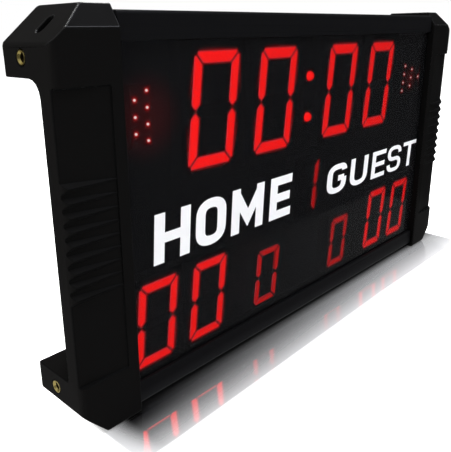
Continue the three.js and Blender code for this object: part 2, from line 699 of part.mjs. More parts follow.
// The back: keyholes to hang it by, air slots, and the holes, collar and posts of what it carries
function backSolid() {
  const through = [backFrontY - overrun, backRearY + overrun];
  const hole = (radius, x, z, steps) => rod('y', radius, ...through, [x, 0, z], steps);
  const cuts = [switchCutout(), hole(jack.barrelRadius + clearance, jackX, jackZ, roundSteps)];
  const [headZ, neckZ] = [riseOf(keyhole), riseOf(keyhole) + keyhole.neckLength];
  [-acrossOf(keyhole), acrossOf(keyhole)].forEach((x) => {
    cuts.push(hole(keyhole.headRadius, x, headZ, roundSteps));
    cuts.push(hole(keyhole.neckWidth / 2, x, neckZ, roundSteps));
    cuts.push(block(around(x, keyhole.neckWidth), through, [headZ, neckZ]));
  });
  for (let index = 0; index < vent.count; index += 1) {
    const x = (index - (vent.count - 1) / 2) * vent.pitch;
    cuts.push(block(around(x, vent.width), through, around(riseOf(vent), vent.length)));
  }
  for (let index = 0; index < sounder.holes; index += 1) {
    const angle = 2 * Math.PI * index / sounder.holes;
    const x = sounderX + sounder.holeRing * Math.cos(angle);
    cuts.push(hole(sounder.holeRadius, x, sounderZ + sounder.holeRing * Math.sin(angle), arcSteps * 2));
  }
  const collarPlace = [sounderX, 0, sounderZ];
  const collarFrom = backFrontY - bayDepth * sounder.collarBayShare;
  const collarInside = sounder.radius + clearance;
  const collar = rod('y', collarInside + sounder.collar, collarFrom, backFrontY, collarPlace)
    .subtract(rod('y', collarInside, collarFrom - overrun, backFrontY + overrun, collarPlace));
  const posts = [controller, supply].flatMap((form) =>
    around(acrossOf(form), form.width - 2 * post.inset).flatMap((x) =>
      around(riseOf(form), form.height - 2 * post.inset).map((z) =>
        rod('y', post.radius, postFrontY, backFrontY, [x, 0, z], roundSteps / 2))));
  return sheet(backFrontY, backRearY).subtract(joined(cuts)).add(collar).add(joined(posts));
}

// Where a board's tall part stands: its ranges along x, y and z
function partPlace(form, part) {
  const { width, height, thickness } = form;
  const frontFace = postFrontY - clearance - thickness;
  return [
    around(acrossOf(form) + part.xShare * width, part.widthShare * width),
    [frontFace - bayDepth * part.bayShare, frontFace + thickness / 2],
    around(riseOf(form) + part.zShare * height, part.heightShare * height),
  ];
}

// A board on its posts, with its tall parts
function populatedBoard(form, parts) {
  const rearFace = postFrontY - clearance;
  const plate = block(
    around(acrossOf(form), form.width),
    [rearFace - form.thickness, rearFace],
    around(riseOf(form), form.height));
  return plate.add(joined(Object.values(parts).map((part) => block(...partPlace(form, part)))));
}

// The display board and its rear socket for the ribbon, above the controller's own
const [ribbonX, ribbonHeaderY, ribbonHeaderZ] = partPlace(controller, controllerParts.ribbonHeader);
const ribbonSocketZ = ribbonHeaderZ.map((rise) => rise + ribbon.climb);
const ribbonSocketY = boardRearY + bayDepth * ribbon.socketBayShare;

function displayBoardSolid() {
  const socketY = [boardRearY - board.thickness / 2, ribbonSocketY];
  return sheet(boardFrontY, boardRearY).add(block(ribbonX, socketY, ribbonSocketZ));
}

// The ribbon: a flat strip between a plug that faces forwards and one that faces the back
function ribbonSolid() {
  const upperPlugY = ribbonSocketY + clearance;
  const stripFrontY = ribbonHeaderY[0] - clearance - bayDepth * ribbon.plugBayShare;
  const stripRearY = stripFrontY + ribbon.thickness;
  const outline = [
    [upperPlugY, ribbonSocketZ[1]],
    [stripRearY, ribbonSocketZ[1]],
    [stripRearY, ribbonHeaderZ[1]],
    [ribbonHeaderY[0] - clearance, ribbonHeaderZ[1]],
    [ribbonHeaderY[0] - clearance, ribbonHeaderZ[0]],
    [stripFrontY, ribbonHeaderZ[0]],
    [stripFrontY, ribbonSocketZ[0]],
    [upperPlugY, ribbonSocketZ[0]],
  ];
  return prism('x', outline, ribbonX[0] + ribbon.margin, ribbonX[1] - ribbon.margin);
}

// A round lead that leaves one place and arrives at another along a smooth curve
function leadSolid(start, leaving, end, arriving) {
  const [from, to] = [start, end].map((point) => new THREE.Vector3(...point));
  const path = new THREE.CubicBezierCurve3(
    from, from.clone().add(new THREE.Vector3(...leaving)),
    to.clone().add(new THREE.Vector3(...arriving)), to);
  const ring = new THREE.Shape(Array.from({ length: lead.sides }, (_, side) =>
    new THREE.Vector2(lead.radius, 0).rotateAround(new THREE.Vector2(), 2 * Math.PI * side / lead.sides)));
  return solid(new THREE.ExtrudeGeometry(ring, { steps: lead.steps, extrudePath: path }));
}

// The four leads: inlet and switch to the supply, supply to controller, sounder to controller
function leadSolids() {
  const [terminalX, terminalY, terminalZ] = partPlace(supply, supplyParts.terminals);
  const [headerX, headerY, headerZ] = partPlace(controller, controllerParts.leadHeader);
  const middle = ([low, high]) => (low + high) / 2;
  const seat = lead.radius + clearance;
  const forwards = [0, -bayDepth * lead.forwardBayShare, 0];
  const fromBelow = [0, 0, -lead.upReach];
  const toRight = [lead.sideReach, 0, 0];
  const toLeft = [-lead.sideReach, 0, 0];
  const underTerminal = (shift) =>
    [middle(terminalX) + shift, terminalY[0] + seat, terminalZ[0] - clearance];
  const beside = (x, ranges) => [x, ranges[0][0] + seat, middle(ranges[1])];
  const inletFront = [jackX, jackFrontY - clearance, jackZ];
  const switchFront = [rockerX, switchFrontY - clearance, rockerZ];
  const sounderFront = [sounderX, sounderFrontY - clearance, sounderZ];
  return {
    lead_inlet: leadSolid(inletFront, forwards, underTerminal(lead.spacing / 2), fromBelow),
    lead_switch: leadSolid(switchFront, forwards, underTerminal(-lead.spacing / 2), fromBelow),
    lead_controller: leadSolid(
      beside(terminalX[1] + clearance, [terminalY, terminalZ]), toRight,
      beside(headerX[0] - clearance, [headerY, headerZ]), toLeft),
    lead_sounder: leadSolid(
      sounderFront, forwards, beside(headerX[1] + clearance, [headerY, headerZ]), toRight),
  };
}

function sounderSolid() {
  return rod('y', sounder.radius, sounderFrontY, backFrontY - clearance, [sounderX, 0, sounderZ]);
}

// The parts, from the outside in
const group = new THREE.Group();
const add = (name, body, material) => group.add(meshOf(name, body, material));

const leftCap = capSolid();
add('end_cap_left', leftCap, mouldedBlack);
add('end_cap_right', mirrored(leftCap), mouldedBlack);
Object.entries(insertPlaces).forEach(([ear, place]) => {
  const leftInsert = insertSolid(place);
  add(`insert_left_${ear}`, leftInsert, brass);
  add(`insert_right_${ear}`, mirrored(leftInsert), brass);
});
add('rail_top', railSolid(true), railBlack);
add('rail_foot', railSolid(false), railBlack);
add('front_panel', clearOfBrow(sheet(panelFrontY, panelRearY)), smokedAcrylic);
add('display_board', displayBoardSolid(), boardBlack);
digits.forEach((digit) => {
  const { shell, lens } = digitSolids(digit);
  add(`${digit.name}_case`, shell, caseBlack);
  add(`${digit.name}_segments`, lens, segmentRed);
});
const colonSpan = clockPlaces.find(({ name }) => name === 'colon_lamps').span;
add('colon_lamps', lampSolid(colonLamps, colonSpan), lampRed);
add('home_arrow_lamps', lampSolid(homeArrow, [capInnerX, clockPlaces.at(0).span[0]]), lampRed);
add('guest_arrow_lamps', lampSolid(guestArrow, [clockPlaces.at(-1).span[1], -capInnerX]), lampRed);
add('back_cover', backSolid(), backBlack);
add('controller_board', populatedBoard(controller, controllerParts), boardGreen);
add('supply_board', populatedBoard(supply, supplyParts), boardGreen);
add('ribbon_cable', ribbonSolid(), ribbonGrey);
Object.entries(leadSolids()).forEach(([name, body]) => add(name, body, leadBlack));
add('sounder', sounderSolid(), partBlack);
add('power_inlet', jackSolid(), partBlack);
add('power_inlet_nut', jackNutSolid(), steel);
add('switch_body', switchSolid(), partBlack);
add('power_rocker', rockerSolid(), partBlack);

export default group;
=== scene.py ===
import math

import bmesh
import bpy
import numpy as np
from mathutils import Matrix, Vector, geometry


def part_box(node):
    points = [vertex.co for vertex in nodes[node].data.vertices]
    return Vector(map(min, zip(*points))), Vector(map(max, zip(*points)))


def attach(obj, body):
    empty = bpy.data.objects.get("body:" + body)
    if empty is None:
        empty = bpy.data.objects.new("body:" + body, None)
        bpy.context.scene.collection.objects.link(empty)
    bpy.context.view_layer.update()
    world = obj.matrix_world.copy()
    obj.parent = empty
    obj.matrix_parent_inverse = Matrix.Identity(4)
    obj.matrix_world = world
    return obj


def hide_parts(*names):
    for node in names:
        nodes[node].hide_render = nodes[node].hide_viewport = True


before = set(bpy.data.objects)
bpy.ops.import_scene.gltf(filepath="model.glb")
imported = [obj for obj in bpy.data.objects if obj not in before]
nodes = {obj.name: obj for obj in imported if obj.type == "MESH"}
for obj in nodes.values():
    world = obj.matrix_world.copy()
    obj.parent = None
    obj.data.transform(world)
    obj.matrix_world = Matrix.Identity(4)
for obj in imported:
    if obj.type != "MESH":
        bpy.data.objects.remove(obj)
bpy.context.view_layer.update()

mm = 0.001


# The end caps are two shells of black ABS, injection moulded as a mirrored pair. A cap slides over
# the ends of the rails and is screwed to them. Its brow, ears, grip and ribs come out of the mould.
def linear(code):
    """A colour written as an sRGB hex code, turned to linear light."""
    channels = [int(code[at:at + 2], 16) / 255 for at in (1, 3, 5)]
    return [c / 12.92 if c <= 0.04045 else ((c + 0.055) / 1.055) ** 2.4 for c in channels] + [1.0]


def connect(tree, node, inputs):
    """Sets inputs to numbers or hex codes, or links them to sockets or to nodes' first outputs."""
    for name, value in inputs.items():
        if isinstance(value, bpy.types.Node):
            value = value.outputs[0]
        if isinstance(value, bpy.types.NodeSocket):
            tree.links.new(value, node.inputs[name])
        else:
            node.inputs[name].default_value = linear(value) if isinstance(value, str) else value
    return node


def add(tree, kind, inputs=None, **settings):
    """A node with its settings, and with its inputs set or linked as connect() does."""
    made = tree.nodes.new(kind)
    for name, value in settings.items():
        setattr(made, name, value)
    return connect(tree, made, inputs or {})


def new_material(name):
    """A material, its node tree, its shader, and the place on the object that its patterns go by."""
    made = bpy.data.materials.new(name)
    made.use_nodes = True
    tree = made.node_tree
    place = add(tree, "ShaderNodeTexCoord").outputs["Object"]
    return made, tree, tree.nodes["Principled BSDF"], place


# Spark-eroded mould skin on black ABS: an even fine grain that scatters the light, a little
# unevenness in its sheen from handling. The real grain is 0.1 mm, and 0.9 mm is as fine as shows
grain_size = 0.9 * mm
smear_size = 45 * mm
abs_skin, tree, shader, place = new_material("spark_eroded_ABS")
grain = add(tree, "ShaderNodeTexNoise", {
    "Vector": place, "Scale": 1 / grain_size, "Detail": 3.0, "Roughness": 0.6})
smear = add(tree, "ShaderNodeTexNoise", {
    "Vector": place, "Scale": 1 / smear_size, "Detail": 4.0, "Distortion": 0.6})
tone = add(tree, "ShaderNodeMix", {0: grain, 6: "#0e0e0d", 7: "#131212"}, data_type="RGBA")
sheen = add(tree, "ShaderNodeMapRange", {
    "Value": smear, "From Min": 0.3, "From Max": 0.7, "To Min": 0.34, "To Max": 0.46})
bump = add(tree, "ShaderNodeBump", {"Height": grain, "Strength": 0.25, "Distance": 0.06 * mm})
connect(tree, shader, {
    "Base Color": tone.outputs[2], "Roughness": sheen, "Normal": bump, "Specular IOR Level": 0.008})

# Hands and cloths have rubbed the caps' edges smoother than their faces, and a painted highlight makes
# the edges reflect more near the top, so a thin bright line runs along the top edges and fades out lower
# down
rubbed_abs_painted_glint, tree, shader, place = new_material("rubbed_ABS_edge_painted_glint")
scuff = add(tree, "ShaderNodeTexNoise", {"Vector": place, "Scale": 1 / (3 * mm), "Detail": 3.0})
shine = add(tree, "ShaderNodeMapRange", {"Value": scuff, "To Min": 0.18, "To Max": 0.34})
apart = add(tree, "ShaderNodeSeparateXYZ", {"Vector": place})
# Painted highlight: the edge strips reflect ten times more near the top of the caps than lower down
painted_glint_by_height = add(tree, "ShaderNodeMapRange", {
    "Value": apart.outputs["Z"], "From Min": 0.227, "From Max": 0.233, "To Min": 0.012, "To Max": 0.12})
connect(tree, shader, {"Base Color": "#0d0d0d", "Roughness": shine, "Specular IOR Level": painted_glint_by_height})


def settle(name, mesh, material, body, replaced):
    """A piece from a mesh, riding on its body and standing for its CAD nodes."""
    piece = bpy.data.objects.new(name, mesh)
    bpy.context.scene.collection.objects.link(piece)
    if not mesh.materials:
        mesh.materials.append(material)
    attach(piece, body)
    if replaced:
        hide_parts(*replaced)
    return piece


def rounded_copy(name, node, material, edge, body="housing", finer=None, bevel_material=None):
    """A copy of a CAD node with rounded edges, finer where finer() says, with its bevel strips of a
    second material if any.
    """
    flat_within, sharp = math.radians(0.8), math.radians(30)
    shape = bmesh.new()
    shape.from_mesh(nodes[node].data)
    bmesh.ops.remove_doubles(shape, verts=shape.verts, dist=1e-6)
    bmesh.ops.dissolve_limit(shape, angle_limit=flat_within, verts=shape.verts, edges=shape.edges)
    weight = shape.edges.layers.float.new("bevel_weight_edge")
    for line in shape.edges:
        if len(line.link_faces) == 2 and line.calc_face_angle() > sharp:
            middle = (line.verts[0].co + line.verts[1].co) / 2
            line[weight] = finer(middle) if finer else 1.0
    for face in shape.faces:
        face.smooth = True
    mesh = bpy.data.meshes.new(name)
    shape.to_mesh(mesh)
    shape.free()
    piece = settle(name, mesh, material, body, [node])
    bevel = piece.modifiers.new("rounded_edges", "BEVEL")
    bevel.limit_method = "WEIGHT"
    bevel.width = edge
    bevel.segments = 3
    bevel.use_clamp_overlap = False
    bevel.miter_outer = "MITER_ARC"
    if bevel_material:
        mesh.materials.append(bevel_material)
        bevel.material = 1
    flat = piece.modifiers.new("flat_faces", "WEIGHTED_NORMAL")
    flat.keep_sharp = False


# The ribs in the front's recess have finer edges than the rest of the moulding
ribs_from, ribs_to, ribs_depth = 88 * mm, 166 * mm, 6 * mm
for side in ("left", "right"):
    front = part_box(f"end_cap_{side}")[0].y
    rounded_copy(
        f"moulded_cap_{side}", f"end_cap_{side}", abs_skin, 0.7 * mm,
        finer=lambda spot: 0.3 if spot.y < front + ribs_depth and ribs_from < spot.z < ribs_to else 1.0,
        bevel_material=rubbed_abs_painted_glint)


# Four pan-head screws hold the caps to the ends of the rails from behind. They are steel, blackened
# and oiled, with a cross recess, and each stands on the cap's rear face over the end of a rail.
def mottled(name, size, tones, sheen, detail=2.0, distortion=0.0, between=(0.0, 1.0), relief=None,
            metallic=0.0, specular=0.5):
    """A finish with one mottling of a real size in its tones, and in its sheen and relief if asked."""
    made, tree, shader, place = new_material(name)
    cloud = add(tree, "ShaderNodeTexNoise", {
        "Vector": place, "Scale": 1 / size, "Detail": detail, "Distortion": distortion})
    inputs = {"Base Color": tones[0], "Roughness": sheen[0], "Metallic": metallic,
              "Specular IOR Level": specular}
    if len(tones) == 2:
        tone = add(tree, "ShaderNodeMix", {0: cloud, 6: tones[0], 7: tones[1]}, data_type="RGBA")
        inputs["Base Color"] = tone.outputs[2]
    if len(sheen) == 2:
        inputs["Roughness"] = add(tree, "ShaderNodeMapRange", {
            "Value": cloud, "From Min": between[0], "From Max": between[1],
            "To Min": sheen[0], "To Max": sheen[1]})
    if relief:
        inputs["Normal"] = add(tree, "ShaderNodeBump", {
            "Height": cloud, "Strength": relief[0], "Distance": relief[1]})
    connect(tree, shader, inputs)
    return made


# Black oxide: a thin dark skin on the steel, which oil makes glossier in specks
black_oxide = mottled(
    "black_oxide_steel", 0.8 * mm, ("#222325", "#3a3b3e"), (0.28, 0.5), detail=4.0, metallic=1.0)


def lathe(shape, profile, centre, axis, steps):
    """Turns a closed profile of (radius, along) points round an axis. A radius of 0 is a pole."""
    along = Vector(axis)
    first = along.orthogonal().normalized()
    second = along.cross(first)
    rings = []
    for radius, reach in profile:
        middle = Vector(centre) + along * reach
        if radius == 0:
            rings.append([shape.verts.new(middle)])
            continue
        angles = [2 * math.pi * step / steps for step in range(steps)]
        rings.append([shape.verts.new(
            middle + first * (radius * math.cos(a)) + second * (radius * math.sin(a))) for a in angles])
    for one, other in zip(rings, rings[1:]):
        for step in range(steps):
            after = (step + 1) % steps
            corners = [one[step % len(one)], one[after % len(one)],
                       other[after % len(other)], other[step % len(other)]]
            kept = [c for at, c in enumerate(corners) if c not in corners[:at]]
            if len(kept) > 2:
                shape.faces.new(kept).smooth = True
    return rings


def finished(shape, name, sharp=40):
    """The mesh of a bmesh, with its normals out and its edges sharp past an angle."""
    bmesh.ops.recalc_face_normals(shape, faces=shape.faces)
    mesh = bpy.data.meshes.new(name)
    shape.to_mesh(mesh)
    shape.free()
    mesh.set_sharp_from_angle(angle=math.radians(sharp))
    return mesh


screw_radius, screw_rise, screw_root = 3.1 * mm, 1.7 * mm, 0.2 * mm
screw_inset, screw_margin = 6 * mm, 11.4 * mm
cross_radius, cross_depth = 1.5 * mm, 0.9 * mm
for side in ("left", "right"):
    low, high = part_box(f"end_cap_{side}")
    across = high.x - screw_inset if side == "left" else low.x + screw_inset
    for level, rise in (("foot", low.z + screw_margin), ("top", high.z - screw_margin)):
        crown = [(screw_radius * math.cos(a), screw_rise * (0.35 + 0.65 * math.sin(a)))
                 for a in np.linspace(0, math.pi * 0.4, 6)]
        recess = [(cross_radius, screw_rise), (cross_radius * 0.5, screw_rise - cross_depth),
                  (0, screw_rise - cross_depth)]
        shape = bmesh.new()
        lathe(shape, [(0, -screw_root), (screw_radius, -screw_root)] + crown + recess,
              (across, high.y, rise), (0, 1, 0), 24)
        # The round recess is drawn in between its four arms, into a cross
        for vert in shape.verts:
            turn = math.atan2(vert.co.z - rise, vert.co.x - across)
            reach = math.hypot(vert.co.z - rise, vert.co.x - across)
            if reach < cross_radius * 1.05 and vert.co.y > high.y + 0.5 * mm:
                squeeze = 0.45 + 0.55 * abs(math.cos(2 * turn)) ** 3
                vert.co.x = across + (vert.co.x - across) * squeeze
                vert.co.z = rise + (vert.co.z - rise) * squeeze
        settle(f"cap_screw_{side}_{level}", finished(shape, "cap_screw"), black_oxide,
               "housing", [])


# The threaded inserts are turned from free-cutting brass, with a knurled rim, and pressed hot into
# the bosses of the ears. A bracket's or a stand's M6 screws go into them.

# The tool leaves rings about 0.1 mm apart, drawn here at 0.5 mm, and the metal tarnishes unevenly
turned_brass, tree, shader, place = new_material("turned_brass")
rings = add(tree, "ShaderNodeTexNoise", {"Vector": place, "Scale": 1 / (0.5 * mm), "Detail": 2.0})
tarnish = add(tree, "ShaderNodeTexNoise", {"Vector": place, "Scale": 1 / (3 * mm), "Detail": 4.0})
tone = add(tree, "ShaderNodeMix", {0: tarnish, 6: "#ead88f", 7: "#a28f45"}, data_type="RGBA")
dull = add(tree, "ShaderNodeMapRange", {"Value": rings, "To Min": 0.16, "To Max": 0.34})
bump = add(tree, "ShaderNodeBump", {"Height": rings, "Strength": 0.2, "Distance": 0.02 * mm})
connect(tree, shader, {
    "Base Color": tone.outputs[2], "Metallic": 1.0, "Roughness": dull, "Normal": bump})

# The thread deep in the bore is painted dark, dull brass: painted shade inside the hole
bore_shade_brass = mottled(
    "bore_shade_brass", 1.2 * mm, ("#1d160a", "#3d3117"), (0.42,), detail=4.0, metallic=1.0)

thread_pitch, thread_depth, bore_radius, lead_in = 1.0 * mm, 0.45 * mm, 2.5 * mm, 1.2 * mm
knurl_depth, knurls, groove_depth, groove_half = 0.25 * mm, 30, 0.5 * mm, 0.8 * mm
for side, inwards in (("left", 1), ("right", -1)):
    for ear in ("upper", "lower"):
        low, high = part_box(f"insert_{side}_{ear}")
        mouth = low.x if side == "left" else high.x
        centre = (mouth, (low.y + high.y) / 2, (low.z + high.z) / 2)
        length, radius = high.x - low.x, (high.z - low.z) / 2
        profile = []
        for turn in range(int((length - 2 * mm) / thread_pitch), 0, -1):
            crest = lead_in + turn * thread_pitch
            profile += [(bore_radius, crest), (bore_radius + thread_depth, crest - thread_pitch / 2)]
        # After the thread come the flared mouth, the rounded rim, and the knurl with its groove
        profile += [
            (bore_radius, lead_in), (bore_radius + 0.75 * mm, 0.35 * mm),
            (bore_radius + 0.95 * mm, 0.05 * mm), (radius - 0.35 * mm, 0.0),
            (radius - knurl_depth, 0.3 * mm), (radius, 0.7 * mm),
            (radius, length / 2 - groove_half), (radius - groove_depth, length / 2 - groove_half),
            (radius - groove_depth, length / 2 + groove_half), (radius, length / 2 + groove_half),
            (radius, length), (bore_radius, length)]
        shape = bmesh.new()
        for loop in lathe(shape, profile + profile[:1], centre, (inwards, 0, 0), 2 * knurls):
            middle = Vector((loop[0].co.x, centre[1], centre[2]))
            if max((vert.co - middle).length for vert in loop) > radius - 0.1 * mm:
                for vert in loop[1::2]:
                    vert.co = middle + (vert.co - middle) * (1 - knurl_depth / radius)
        bmesh.ops.remove_doubles(shape, verts=shape.verts, dist=1e-7)
        # Faces of the thread deep in the bore take the darker brass, as painted shade
        for face in shape.faces:
            middle = face.calc_center_median()
            reach = math.hypot(middle.y - centre[1], middle.z - centre[2])
            in_bore_shade = abs(middle.x - mouth) > lead_in and reach < bore_radius + thread_depth
            face.material_index = int(in_bore_shade)
        mesh = finished(shape, "threaded_insert", 25)
        mesh.materials.append(turned_brass)
        mesh.materials.append(bore_shade_brass)
        settle(f"threaded_insert_{side}_{ear}", mesh, None, "housing",
               [f"insert_{side}_{ear}"])


# The rails are one aluminium section, sawn to length, and black anodised. The same extrusion lies
# along the foot and, turned over, along the top, and its ribs hold the panel, board and back.

# Anodised extrusion: fine die lines run along it, about 0.2 mm apart, drawn at 0.7 mm to show, and
# the foot's lower edge is painted lighter, as painted bounce light from the white table below
die_line, line_length = 0.7 * mm, 160 * mm
anodised, tree, shader, place = new_material("black_anodised_aluminium")
stretch = add(tree, "ShaderNodeMapping", {
    "Vector": place, "Scale": (1 / line_length, 1 / die_line, 1 / die_line)})
lines = add(tree, "ShaderNodeTexNoise", {"Vector": stretch, "Scale": 1.0, "Detail": 3.0})
tone = add(tree, "ShaderNodeMix", {0: lines, 6: "#101011", 7: "#171718"}, data_type="RGBA")
apart = add(tree, "ShaderNodeSeparateXYZ", {"Vector": place})
# Painted light: the foot is lighter towards its lower edge, where light from the table below would fall
lighter_share = add(tree, "ShaderNodeMapRange", {
    "Value": apart.outputs["Z"], "From Min": 14 * mm, "From Max": 4 * mm, "To Min": 0.0, "To Max": 0.8},
    interpolation_type="SMOOTHSTEP")
painted_bounce_tone = add(tree, "ShaderNodeMix", {0: lighter_share, 6: tone.outputs[2], 7: "#242425"}, data_type="RGBA")
satin = add(tree, "ShaderNodeMapRange", {
    "Value": lines, "From Min": 0.3, "From Max": 0.7, "To Min": 0.26, "To Max": 0.42})
bump = add(tree, "ShaderNodeBump", {"Height": lines, "Strength": 0.2, "Distance": 0.03 * mm})
connect(tree, shader, {
    "Base Color": painted_bounce_tone.outputs[2], "Metallic": 0.03, "Roughness": satin,
    "Normal": bump, "Specular IOR Level": 0.005})
rounded_copy("extruded_rail_top", "rail_top", anodised, 0.4 * mm)
rounded_copy("extruded_rail_foot", "rail_foot", anodised, 0.4 * mm)


# The front panel is a sheet of smoked cast acrylic, 3 mm thick, with diamond-polished faces. It
# slides into the rails. The two words are screen printed on its face in white ink.

# Polished acrylic with a grey dye: black at a glance, and the lit digits show through it, though
# each face stops three quarters of their light. A hand's wipe leaves broad faint streaks in its
# gloss, some 45 mm wide
panel_face_alpha = 0.75
acrylic, tree, shader, place = new_material("smoked_cast_acrylic")
wipe = add(tree, "ShaderNodeMapping", {
    "Vector": place, "Rotation": (0.0, 0.5, 0.0), "Scale": (6.0, 6.0, 22.0)})
streaks = add(tree, "ShaderNodeTexNoise", {
    "Vector": wipe, "Scale": 1.0, "Detail": 3.0, "Distortion": 0.8})
gloss = add(tree, "ShaderNodeMapRange", {
    "Value": streaks, "From Min": 0.35, "From Max": 0.7, "To Min": 0.03, "To Max": 0.09})
# Only the outside of a face glints. Seen from within the sheet, the far face adds no reflection
seen_side = add(tree, "ShaderNodeNewGeometry")
glint = add(tree, "ShaderNodeMapRange", {
    "Value": seen_side.outputs["Backfacing"], "To Min": 0.025, "To Max": 0.0})
# Red light from the two arrows' lamps is painted onto the panel as a dim glowing haze round each arrow,
# standing for the red that the dye scatters
haze, painted_glow_strength = 0.0, 0.02
for name, reach, along in (("home_arrow_lamps", 30 * mm, 0.5), ("guest_arrow_lamps", 16 * mm, 0.25)):
    low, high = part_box(name)
    spot = (low.x + (high.x - low.x) * along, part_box("front_panel")[0].y, low.lerp(high, 0.5).z)
    away = add(tree, "ShaderNodeVectorMath", {0: place, 1: spot}, operation="DISTANCE")
    near = add(tree, "ShaderNodeMapRange", {
        "Value": away.outputs["Value"], "From Min": reach, "From Max": reach * 0.2},
        interpolation_type="SMOOTHSTEP")
    haze = add(tree, "ShaderNodeMath", {0: haze, 1: near}, operation="ADD")
painted_arrow_glow = add(tree, "ShaderNodeMath", {0: haze, 1: painted_glow_strength}, operation="MULTIPLY")
connect(tree, shader, {
    "Base Color": "#161617", "Roughness": gloss, "IOR": 1.49,
    "Specular IOR Level": glint, "Alpha": panel_face_alpha,
    "Emission Color": "#ff1a1a", "Emission Strength": painted_arrow_glow})


def coat(material, *names):
    """Gives CAD nodes, which keep their shape, a new material."""
    for name in names:
        nodes[name].data.materials.clear()
        nodes[name].data.materials.append(material)


coat(acrylic, "front_panel")

# White screen ink: flat and dense, with a trace of the weave it was pressed through, which is
# 0.15 mm, drawn at 0.6 mm to show
ink_mesh, ink_thickness = 0.6 * mm, 0.05 * mm
ink = mottled("white_screen_ink", ink_mesh, ("#fafaf9", "#ffffff"), (0.55,), specular=0.2)


def rounded_path(points, radius, closed=False, steps=6):
    """A path of straight stretches with its corners turned into curves."""
    spots = [Vector(p) for p in points]
    last = len(spots) - 1
    path = []
    for at, spot in enumerate(spots):
        if not closed and at in (0, last):
            path.append(spot)
            continue
        before, after = spots[at - 1] - spot, spots[(at + 1) % len(spots)] - spot
        room_before = before.length * (1 if at == 1 and not closed else 0.5)
        room_after = after.length * (1 if at == last - 1 and not closed else 0.5)
        reach = min(radius, room_before, room_after)
        start, end = spot + before.normalized() * reach, spot + after.normalized() * reach
        for step in range(steps + 1):
            share = step / steps
            path.append(start.lerp(spot, share).lerp(spot.lerp(end, share), share))
    return path


def band(path, width, closed=False):
    """The four-cornered pieces of a stroke of even width along a path."""
    path = [p for at, p in enumerate(path)
            if (p - path[at - 1]).length > 1e-6 or (at == 0 and not closed)]
    count = len(path)
    sides = []
    for at, spot in enumerate(path):
        into = spot - path[at - 1] if at or closed else path[1] - path[0]
        out = path[(at + 1) % count] - spot if at < count - 1 or closed else into
        into, out = into.normalized(), out.normalized()
        middle = (into + out).normalized()
        across = Vector((-middle.y, middle.x)) * (width / 2 / max(middle.dot(into), 0.5))
        sides.append((spot + across, spot - across))
    last = count if closed else count - 1
    return [(sides[at][0], sides[at][1], sides[(at + 1) % count][1], sides[(at + 1) % count][0])
            for at in range(last)]


def letter_strokes(letter, width, height, stroke, pressed):
    """The strokes of a plain block capital, drawn tall and pressed flat, so level bars are thinner."""
    tall = height / pressed
    near, far = stroke / 2, width - stroke / 2
    low, mid, high = stroke / 2, tall / 2, tall - stroke / 2
    turn = min(width, tall) * 0.46
    straight = {
        "H": [[(near, 0), (near, tall)], [(far, 0), (far, tall)], [(near, mid), (far, mid)]],
        "M": [[(near, 0), (near, tall)], [(far, 0), (far, tall)],
              [(near, tall - stroke * 0.62), (width / 2, tall * 0.3), (far, tall - stroke * 0.62)]],
        "E": [[(near, 0), (near, tall)], [(0, low), (width, low)],
              [(0, mid), (width * 0.93, mid)], [(0, high), (width, high)]],
        "T": [[(width / 2, 0), (width / 2, tall)], [(0, high), (width, high)]],
    }
    curved = {
        "O": [(near, low), (far, low), (far, high), (near, high)],
        "U": [(near, tall), (near, low), (far, low), (far, tall)],
        "G": [(far, tall * 0.75), (far, high), (near, high), (near, low), (far, low), (far, mid),
              (width * 0.56, mid)],
        "S": [(far, tall * 0.7), (far, high), (near, high), (near, mid), (far, mid), (far, low),
              (near, low), (near, tall * 0.3)],
    }
    if letter in straight:
        quads = [q for path in straight[letter] for q in band([Vector(p) for p in path], stroke)]
    elif letter == "O":
        quads = band(rounded_path(curved["O"], turn, closed=True), stroke, closed=True)
    elif letter == "G":
        path = rounded_path(curved["G"][:-1], turn)
        quads = band(path, stroke) + band([Vector(p) for p in curved["G"][-2:]], stroke)
    else:
        quads = band(rounded_path(curved[letter], turn), stroke)
    return [[Vector((p.x, p.y * pressed)) for p in quad] for quad in quads]


def of_kind(geom, kind):
    """The vertices or the edges among what a bmesh call has made."""
    return [item for item in geom if isinstance(item, kind)]


def print_film(name, quads, corner, right, up, body):
    """A film of ink that fills a union of outlines, in the plane of two directions through a corner."""
    faces = [[4 * at + step for step in range(4)] for at in range(len(quads))]
    made, _, triangles, _, _, sources = geometry.delaunay_2d_cdt(
        [Vector(point) for quad in quads for point in quad], [], faces, 0, 1e-8)
    corner, right, up = Vector(corner), Vector(right), Vector(up)
    out = right.cross(up).normalized() * ink_thickness
    shape = bmesh.new()
    verts = [shape.verts.new(corner + out + right * point.x + up * point.y) for point in made]
    for triangle, owners in zip(triangles, sources):
        if owners:
            shape.faces.new([verts[at] for at in triangle])
    bmesh.ops.delete(shape, geom=[v for v in shape.verts if not v.link_faces], context="VERTS")
    grown = bmesh.ops.extrude_face_region(shape, geom=list(shape.faces))["geom"]
    for vert in of_kind(grown, bmesh.types.BMVert):
        vert.co -= out
    settle(name, finished(shape, "ink_film"), ink, body, [])


